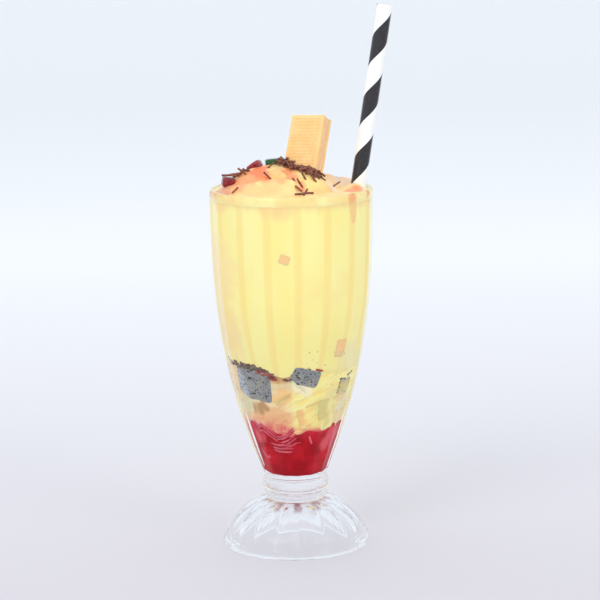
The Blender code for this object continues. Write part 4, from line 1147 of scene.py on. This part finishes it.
def wafer_sheet(name, outer, turned=False):
    """A sheet: a grid whose inner cells are inset and pressed in, with its edge drawn back into a slab.

    Its pressed side lies at outer, to the front, or to the back where it is turned.
    """
    bpy.ops.mesh.primitive_grid_add(x_subdivisions=GRID_CELLS[0], y_subdivisions=GRID_CELLS[1], size=1)
    piece = named(name)
    piece.scale = (WAFER_WIDTH, WAFER_LENGTH, 1)
    settle(piece)
    piece.rotation_euler = (math.pi / 2, 0, 0)
    piece.location = (0, 0, -WAFER_LENGTH / 2)
    settle(piece)
    edit(piece)
    across = WAFER_WIDTH / 2 - WAFER_WIDTH / GRID_CELLS[0] + 0.01 * MM
    down = WAFER_LENGTH / 2 - WAFER_LENGTH / GRID_CELLS[1] + 0.01 * MM
    pick(piece, lambda place: abs(place.x) < across and abs(place.z + WAFER_LENGTH / 2) < down)
    bpy.ops.mesh.inset(thickness=GRID_RIDGE, depth=0, use_individual=True)
    bpy.ops.mesh.inset(thickness=GRID_SLOPE, depth=-GRID_DEPTH, use_individual=True)
    bpy.ops.mesh.select_all(action="DESELECT")
    bpy.ops.mesh.select_mode(type="EDGE")
    bpy.ops.mesh.select_non_manifold()
    bpy.ops.mesh.extrude_region_move(TRANSFORM_OT_translate={"value": (0, WAFER_SHEET, 0)})
    bpy.ops.mesh.edge_face_add()
    close_up()
    settle(piece)
    change(piece, "BEVEL", width=SHEET_ROUND, segments=2, angle_limit=75 * DEGREE)
    if turned:
        piece.rotation_euler = (0, 0, math.pi)
        settle(piece)
    piece.location = (0, outer, 0)
    settle(piece)
    hang(piece)
    bpy.ops.object.shade_smooth_by_angle(angle=35 * DEGREE)
    return piece


def wafer_finish():
    """Pale orange baked sheet, a little uneven in colour, with tiny pores."""
    made, tree, shader, place = finish("wafer sheet", {
        "Roughness": 0.75, "Specular IOR Level": 0.3, "Subsurface Weight": 0.15,
        "Subsurface Radius": (1.0, 0.6, 0.3), "Subsurface Scale": 1 * MM})
    color = mixed(tree, uneven(tree, place, 130.0, 0.3, 0.7), paint(254, 203, 136), paint(255, 213, 150))
    tree.links.new(color, shader.inputs["Base Color"])
    relief(tree, shader, uneven(tree, place, 1500.0, 0.3, 0.7), 0.08 * MM)
    return made


def filling_finish():
    """Pale sugar cream with a dry, grainy edge."""
    made, tree, shader, place = finish("wafer filling", {
        "Roughness": 0.7, "Subsurface Weight": 0.2,
        "Subsurface Radius": (1.0, 0.7, 0.5), "Subsurface Scale": 1 * MM})
    color = mixed(tree, uneven(tree, place, 400.0), paint(246, 198, 150), paint(250, 208, 162))
    tree.links.new(color, shader.inputs["Base Color"])
    relief(tree, shader, uneven(tree, place, 900.0, 0.2, 0.8), 0.3 * MM)
    return made


face = WAFER_FILLING / 2 + WAFER_SHEET
wafer_crust = wafer_finish()
serve(wafer_sheet("wafer_front_sheet", -face), wafer_crust, "wafer_sheet", "wafer_front")
serve(wafer_sheet("wafer_back_sheet", face, True), wafer_crust, "wafer_sheet", "wafer_back")

bpy.ops.mesh.primitive_cube_add(size=1, location=(0, 0, -WAFER_LENGTH / 2))
filling = named("wafer_cream")
filling.scale = (WAFER_WIDTH - 2 * FILLING_INSET, WAFER_FILLING + 2 * FILLING_OVER,
                 WAFER_LENGTH - 2 * FILLING_INSET)
settle(filling)
edit(filling)
bpy.ops.mesh.select_all(action="SELECT")
bpy.ops.mesh.subdivide(number_cuts=FILLING_CUTS)
settle(filling)
bumpy(filling, 2.5 * MM, 0.2 * MM)
hang(filling)
bpy.ops.object.shade_smooth()
serve(filling, filling_finish(), "wafer_filling", "wafer_filling")

# ---------------------------------------------------------------- the chocolate strands
# Short sticks of dark chocolate, strewn over the cream: a thick band in front of the wafer,
# a tuft on the left, and single ones.
STRAND_RADIUS, STRAND_LENGTH, STRAND_CLEAR = 0.54 * MM, 5.6 * MM, 0.2 * MM
STRAND_STANDING, STRAND_STEEPEST = 30, 29  # degrees: a steeper one stands with its foot in the cream
STRAND_BAND = [(-4, -0.5), (-1, -3), (3, -6), (7.5, -8.6), (12, -10.2), (15.5, -9.2)]
STRAND_PILE = [(-5, 1), (-2.5, -1), (0.5, -3)]
STRAND_TUFT = [(-29, -6), (-27, -5.5), (-24.5, -4.5)]
STREWINGS = [  # where, how many, how far off the line, in how many layers, and how steep the upper ones lie
    (STRAND_BAND, 66, 0.9, 3, 6), (STRAND_PILE, 24, 1.1, 4, 7), (STRAND_TUFT, 6, 1.4, 2, 8)]
STRAND_SINGLES = [  # x and y from the glass's axis in millimetres; their turn and how steep, in degrees
    (-29, -20, 35, 0), (3.9, -26.8, -46, 0), (5, -31, -4, 0), (8.6, -30.8, 3, 0), (7.4, -29.8, 70, 12),
    (3.4, -21, 180, 57), (5.7, -19.8, 180, 60), (7.5, -15.5, 180, 62), (12.7, -15, 180, 56),
    (-10.7, -15.5, 180, 46), (-12, -5, 0, 40), (22, -6, 12, 31), (-14.1, 2.5, 60, 76), (-23.4, -8, 180, 37),
    (-29.5, -9.5, 0, 43), (-33, -7, 5, 0), (-31.5, -5, -20, 0), (-26, -3, 40, 20), (-22, 16, 20, 0),
    (-2, 24, 75, 0), (10, 26, -25, 0), (-14, 22, 40, 0), (-8, 29, 10, 0), (24, 18, 60, 0),
]


def under_strand(x, y):
    """The highest point of the cream and its fruit under a place, in millimetres from the glass's axis."""
    spots = []
    for piece in [heap] + candied_pieces:
        hit, spot, _, _ = piece.ray_cast(AXIS + Vector((x * MM, y * MM, 0.3)), -UP)
        if hit:
            spots.append(spot if piece == heap else spot + UP * (0.3 * STRAND_RADIUS + 0.4 * MM))
    return max(spots, key=lambda spot: spot.z) if spots else None


def strand_place(draw_random, x, y, turn, steep=0.0, lift=0.0):
    """Lay a strand on what is under it, or stand its foot in it; None where it would touch a neighbour."""
    flat = Vector((math.cos(turn), math.sin(turn), 0))
    if steep > STRAND_STANDING * DEGREE:
        foot = under_strand(x, y)
        if foot is None:
            return None
        slope = (flat * math.cos(steep) + UP * math.sin(steep)) * STRAND_LENGTH
        middle = foot + slope * 0.4
    else:
        way = flat * STRAND_LENGTH / 2 / MM
        ends = [under_strand(x - way.x, y - way.y), under_strand(x, y), under_strand(x + way.x, y + way.y)]
        if None in ends:
            return None
        slope = (ends[2] - ends[0]).normalized() * STRAND_LENGTH + UP * math.sin(steep) * STRAND_LENGTH
        sag = max(0.0, ends[1].z - (ends[0].z + ends[2].z) / 2)
        middle = (ends[0] + ends[2]) / 2 + UP * (sag + STRAND_RADIUS * 0.7 + lift)
    for other in strand_neighbours:
        for share in (-0.5, -0.25, 0, 0.25, 0.5):
            near, spot, _, _ = other.closest_point_on_mesh(middle + slope * share)
            if near and (spot - middle - slope * share).length < STRAND_RADIUS + STRAND_CLEAR:
                return None
    pointing = slope.to_track_quat("Z", "Y").to_matrix().to_4x4()
    return Matrix.Translation(middle) @ pointing @ Matrix.Scale(draw_random.uniform(0.8, 1.15), 4)


def strewn(draw_random, line, count, spread, layers, steep):
    """Strands strewn about a line, in layers that lie ever less flat."""
    places = []
    for step in range(count):
        share = (step % (count // layers)) / (count // layers) * (len(line) - 1)
        index = min(int(share), len(line) - 2)
        start, end, part = Vector(line[index]), Vector(line[index + 1]), share - index
        spot = start.lerp(end, part) + Vector((draw_random.gauss(0, spread), draw_random.gauss(0, spread)))
        layer = step // (count // layers)
        places.append(strand_place(draw_random, spot.x, spot.y, draw_random.uniform(0, math.tau),
                                   min(STRAND_STEEPEST, abs(draw_random.gauss(0, steep * layer))) * DEGREE,
                                   layer * 1.6 * STRAND_RADIUS))
    return places


def chocolate_finish():
    """Dark chocolate, a little lighter in places and finely grained."""
    made, tree, shader, place = finish("dark chocolate", {"Roughness": 0.35, "Specular IOR Level": 0.4})
    color = mixed(tree, uneven(tree, place, 700.0), paint(98, 54, 42), paint(146, 88, 66))
    tree.links.new(color, shader.inputs["Base Color"])
    relief(tree, shader, uneven(tree, place, 1800.0, 0.2, 0.8), 0.08 * MM)
    return made


strand_neighbours = [bpy.data.objects[name] for name in (
    "cherry_left_piece", "cherry_upper_piece", "green_jelly_piece", "wafer_front_sheet", "wafer_back_sheet",
    "wafer_cream", "soda_glass")]
candied_pieces = strand_neighbours[:3]
strand_draw = random.Random(4)
strand_places = []
for strewing in STREWINGS:
    strand_places += strewn(strand_draw, *strewing)
for x, y, turn, steep in STRAND_SINGLES:
    strand_places.append(strand_place(strand_draw, x, y, turn * DEGREE, steep * DEGREE))
bpy.ops.mesh.primitive_cylinder_add(vertices=8, radius=STRAND_RADIUS, depth=STRAND_LENGTH)
strand = bpy.context.object
edit(strand)
bpy.ops.mesh.select_all(action="SELECT")
bpy.ops.mesh.bevel(offset=0.12 * MM, segments=1, affect="EDGES")
settle(strand)
chocolate = joined("chocolate_strands", [copied(strand, place) for place in strand_places if place])
discard(strand)
bpy.ops.object.shade_smooth_by_angle(angle=40 * DEGREE)
serve(chocolate, chocolate_finish(), "whipped_cream")

# ---------------------------------------------------------------- the straw
# A paper straw, wound from a ribbon that is half white and half black, and waxed. Its stripe
# climbs to the right. It stands in the drink and leans on the rim.
STRIPE_RISE, STRIPE_START, STRIPE_STEPS, STRIPE_TURNS = 31.9 * MM, 19.4 * MM, 12, 8


def wound_straw():
    """Wind a ribbon's edge up the straw with a screw, and cut it square at both ends."""
    bpy.ops.mesh.primitive_plane_add(size=MM, location=(STRAW_RADIUS, 0, STRIPE_START - 2 * STRIPE_RISE))
    piece = settle(named("wound_straw"))
    edit(piece)
    bpy.ops.mesh.select_all(action="SELECT")
    bpy.ops.mesh.merge(type="CENTER")
    for _ in range(STRIPE_STEPS):
        bpy.ops.mesh.extrude_region_move(TRANSFORM_OT_translate={"value": (0, 0, STRIPE_RISE / STRIPE_STEPS)})
    settle(piece)
    change(piece, "SCREW", screw_offset=STRIPE_RISE, iterations=STRIPE_TURNS, steps=48, render_steps=48)
    edit(piece)
    close_up()
    for end, cleared in ((0, "clear_inner"), (STRAW_LENGTH, "clear_outer")):
        bpy.ops.mesh.select_all(action="SELECT")
        bpy.ops.mesh.bisect(plane_co=(0, 0, end), plane_no=(0, 0, 1), **{cleared: True})
    return settle(piece)


def on_black(place):
    """Whether a spot of the straw, in its own frame, lies on the black half of the ribbon."""
    turns = math.atan2(place.y, place.x) / math.tau
    return (place.z - STRIPE_START - turns * STRIPE_RISE) % STRIPE_RISE < STRIPE_RISE / 2


def paper_finish(name, first, second, roughness):
    """Waxed paper, faintly fibrous."""
    made, tree, shader, place = finish(name, {"Roughness": roughness, "Specular IOR Level": 0.5})
    fibres = uneven(tree, stretched(tree, place, (0, 0.8, 0), (1, 1, 6)), 1600.0, 0.3, 0.7)
    tree.links.new(mixed(tree, fibres, first, second), shader.inputs["Base Color"])
    relief(tree, shader, fibres, 0.02 * MM)
    return made


straw = wound_straw()
for paper in (paper_finish("white paper", paint(244, 244, 240), paint(250, 250, 247), 0.45),
              paper_finish("black paper", paint(34, 33, 37), paint(46, 45, 49), 0.24),
              paper_finish("inner paper", paint(236, 234, 228), paint(246, 244, 240), 0.8)):
    straw.data.materials.append(paper)
edit(straw)
bpy.ops.mesh.select_mode(type="FACE")
shape = bmesh.from_edit_mesh(straw.data)
for side in shape.faces:
    side.select_set(on_black(side.calc_center_median()))
bmesh.update_edit_mesh(straw.data)
straw.active_material_index = 1
bpy.ops.object.material_slot_assign()
settle(straw)
change(straw, "SOLIDIFY", thickness=STRAW_WALL, offset=-1, material_offset=2, material_offset_rim=2)
straw.matrix_world = Matrix.Translation(STRAW_LOW) @ Matrix.Rotation(STRAW_LEAN, 4, "Y")
settle(straw)
bpy.ops.object.shade_smooth_by_angle(angle=40 * DEGREE)
serve(straw, None, "paper_straw", "straw")

# ---------------------------------------------------------------- the table, the light and the camera
# A pale seamless table, lit by a large soft light at the front left, weaker ones at the
# right and above, and a bright room. None of it belongs to the drink.
TABLE_SIDE, TABLE_WALL, TABLE_BEND = 8, 4, 1.5
DRINK_MIDDLE, BOUNCES, GLOSSY_BOUNCES = 0.13, 24, 12
CAMERA_PLACE = AXIS + Vector((3.774, -1198.46, 350.3)) * MM
CAMERA_PITCH, CAMERA_ROLL, CAMERA_LENS = 10.334 * DEGREE, -0.84 * DEGREE, 137.82

bpy.ops.mesh.primitive_plane_add(size=1, location=(0, 0, 0))
table = named("table")
table.scale = (TABLE_SIDE, TABLE_SIDE, 1)
settle(table)
edit(table)
pick(table, lambda place: place.y > 0)
bpy.ops.mesh.extrude_region_move(TRANSFORM_OT_translate={"value": (0, 0, TABLE_WALL)})
bpy.ops.mesh.select_all(action="SELECT")
bpy.ops.mesh.normals_make_consistent(inside=True)
settle(table)
change(table, "BEVEL", width=TABLE_BEND, segments=16)
bpy.ops.object.shade_smooth()


def table_finish():
    """Matt white, with painted shade that darkens it to a pale grey near the camera."""
    made, tree, shader, place = finish("pale table", {"Roughness": 0.7, "Specular IOR Level": 0.2})
    # Painted shade: the table's colour falls to grey towards the camera, where less light reaches it.
    painted_shade_fade = ramp(tree, along(tree, place, "Y"), -0.1, 0.95, kind="LINEAR")
    color = mixed(tree, painted_shade_fade, (0.63, 0.61, 0.65, 1), (0.90, 0.92, 0.94, 1))
    tree.links.new(color, shader.inputs["Base Color"])
    return made


table.data.materials.append(table_finish())


def soft_light(name, place, size, power):
    """A large square light that faces the drink."""
    bpy.ops.object.light_add(type="AREA", location=place)
    light = named(name)
    light.data.size, light.data.energy = size, power
    light.rotation_euler = (UP * DRINK_MIDDLE - Vector(place)).to_track_quat("-Z", "Y").to_euler()


soft_light("front left light", (-0.9, -1.2, 1.2), 0.9, 8)
soft_light("right light", (1.1, -0.9, 0.8), 0.8, 4)
soft_light("top light", (-0.2, 0.3, 1.8), 1.2, 3)

room = bpy.data.worlds.new("bright room")
room.use_nodes = True
room.node_tree.nodes["Background"].inputs["Color"].default_value = (0.92, 0.95, 1.0, 1)
bpy.context.scene.world = room

bpy.ops.object.camera_add(location=CAMERA_PLACE)
camera = named("camera")
camera.rotation_mode = "XYZ"
tilt = Matrix.Rotation(math.pi / 2 - CAMERA_PITCH, 4, "X") @ Matrix.Rotation(CAMERA_ROLL, 4, "Z")
camera.rotation_euler = tilt.to_euler()
camera.data.lens, camera.data.sensor_width, camera.data.sensor_height = CAMERA_LENS, 36, 36
camera.data.clip_start, camera.data.clip_end = 0.05, 30
bpy.context.scene.camera = camera
bpy.context.scene.view_settings.view_transform = "Standard"
bpy.context.scene.cycles.max_bounces = bpy.context.scene.cycles.transmission_bounces = BOUNCES
bpy.context.scene.cycles.glossy_bounces = GLOSSY_BOUNCES

discard(rose_slab, cream_slab, wall_room, straw_room)
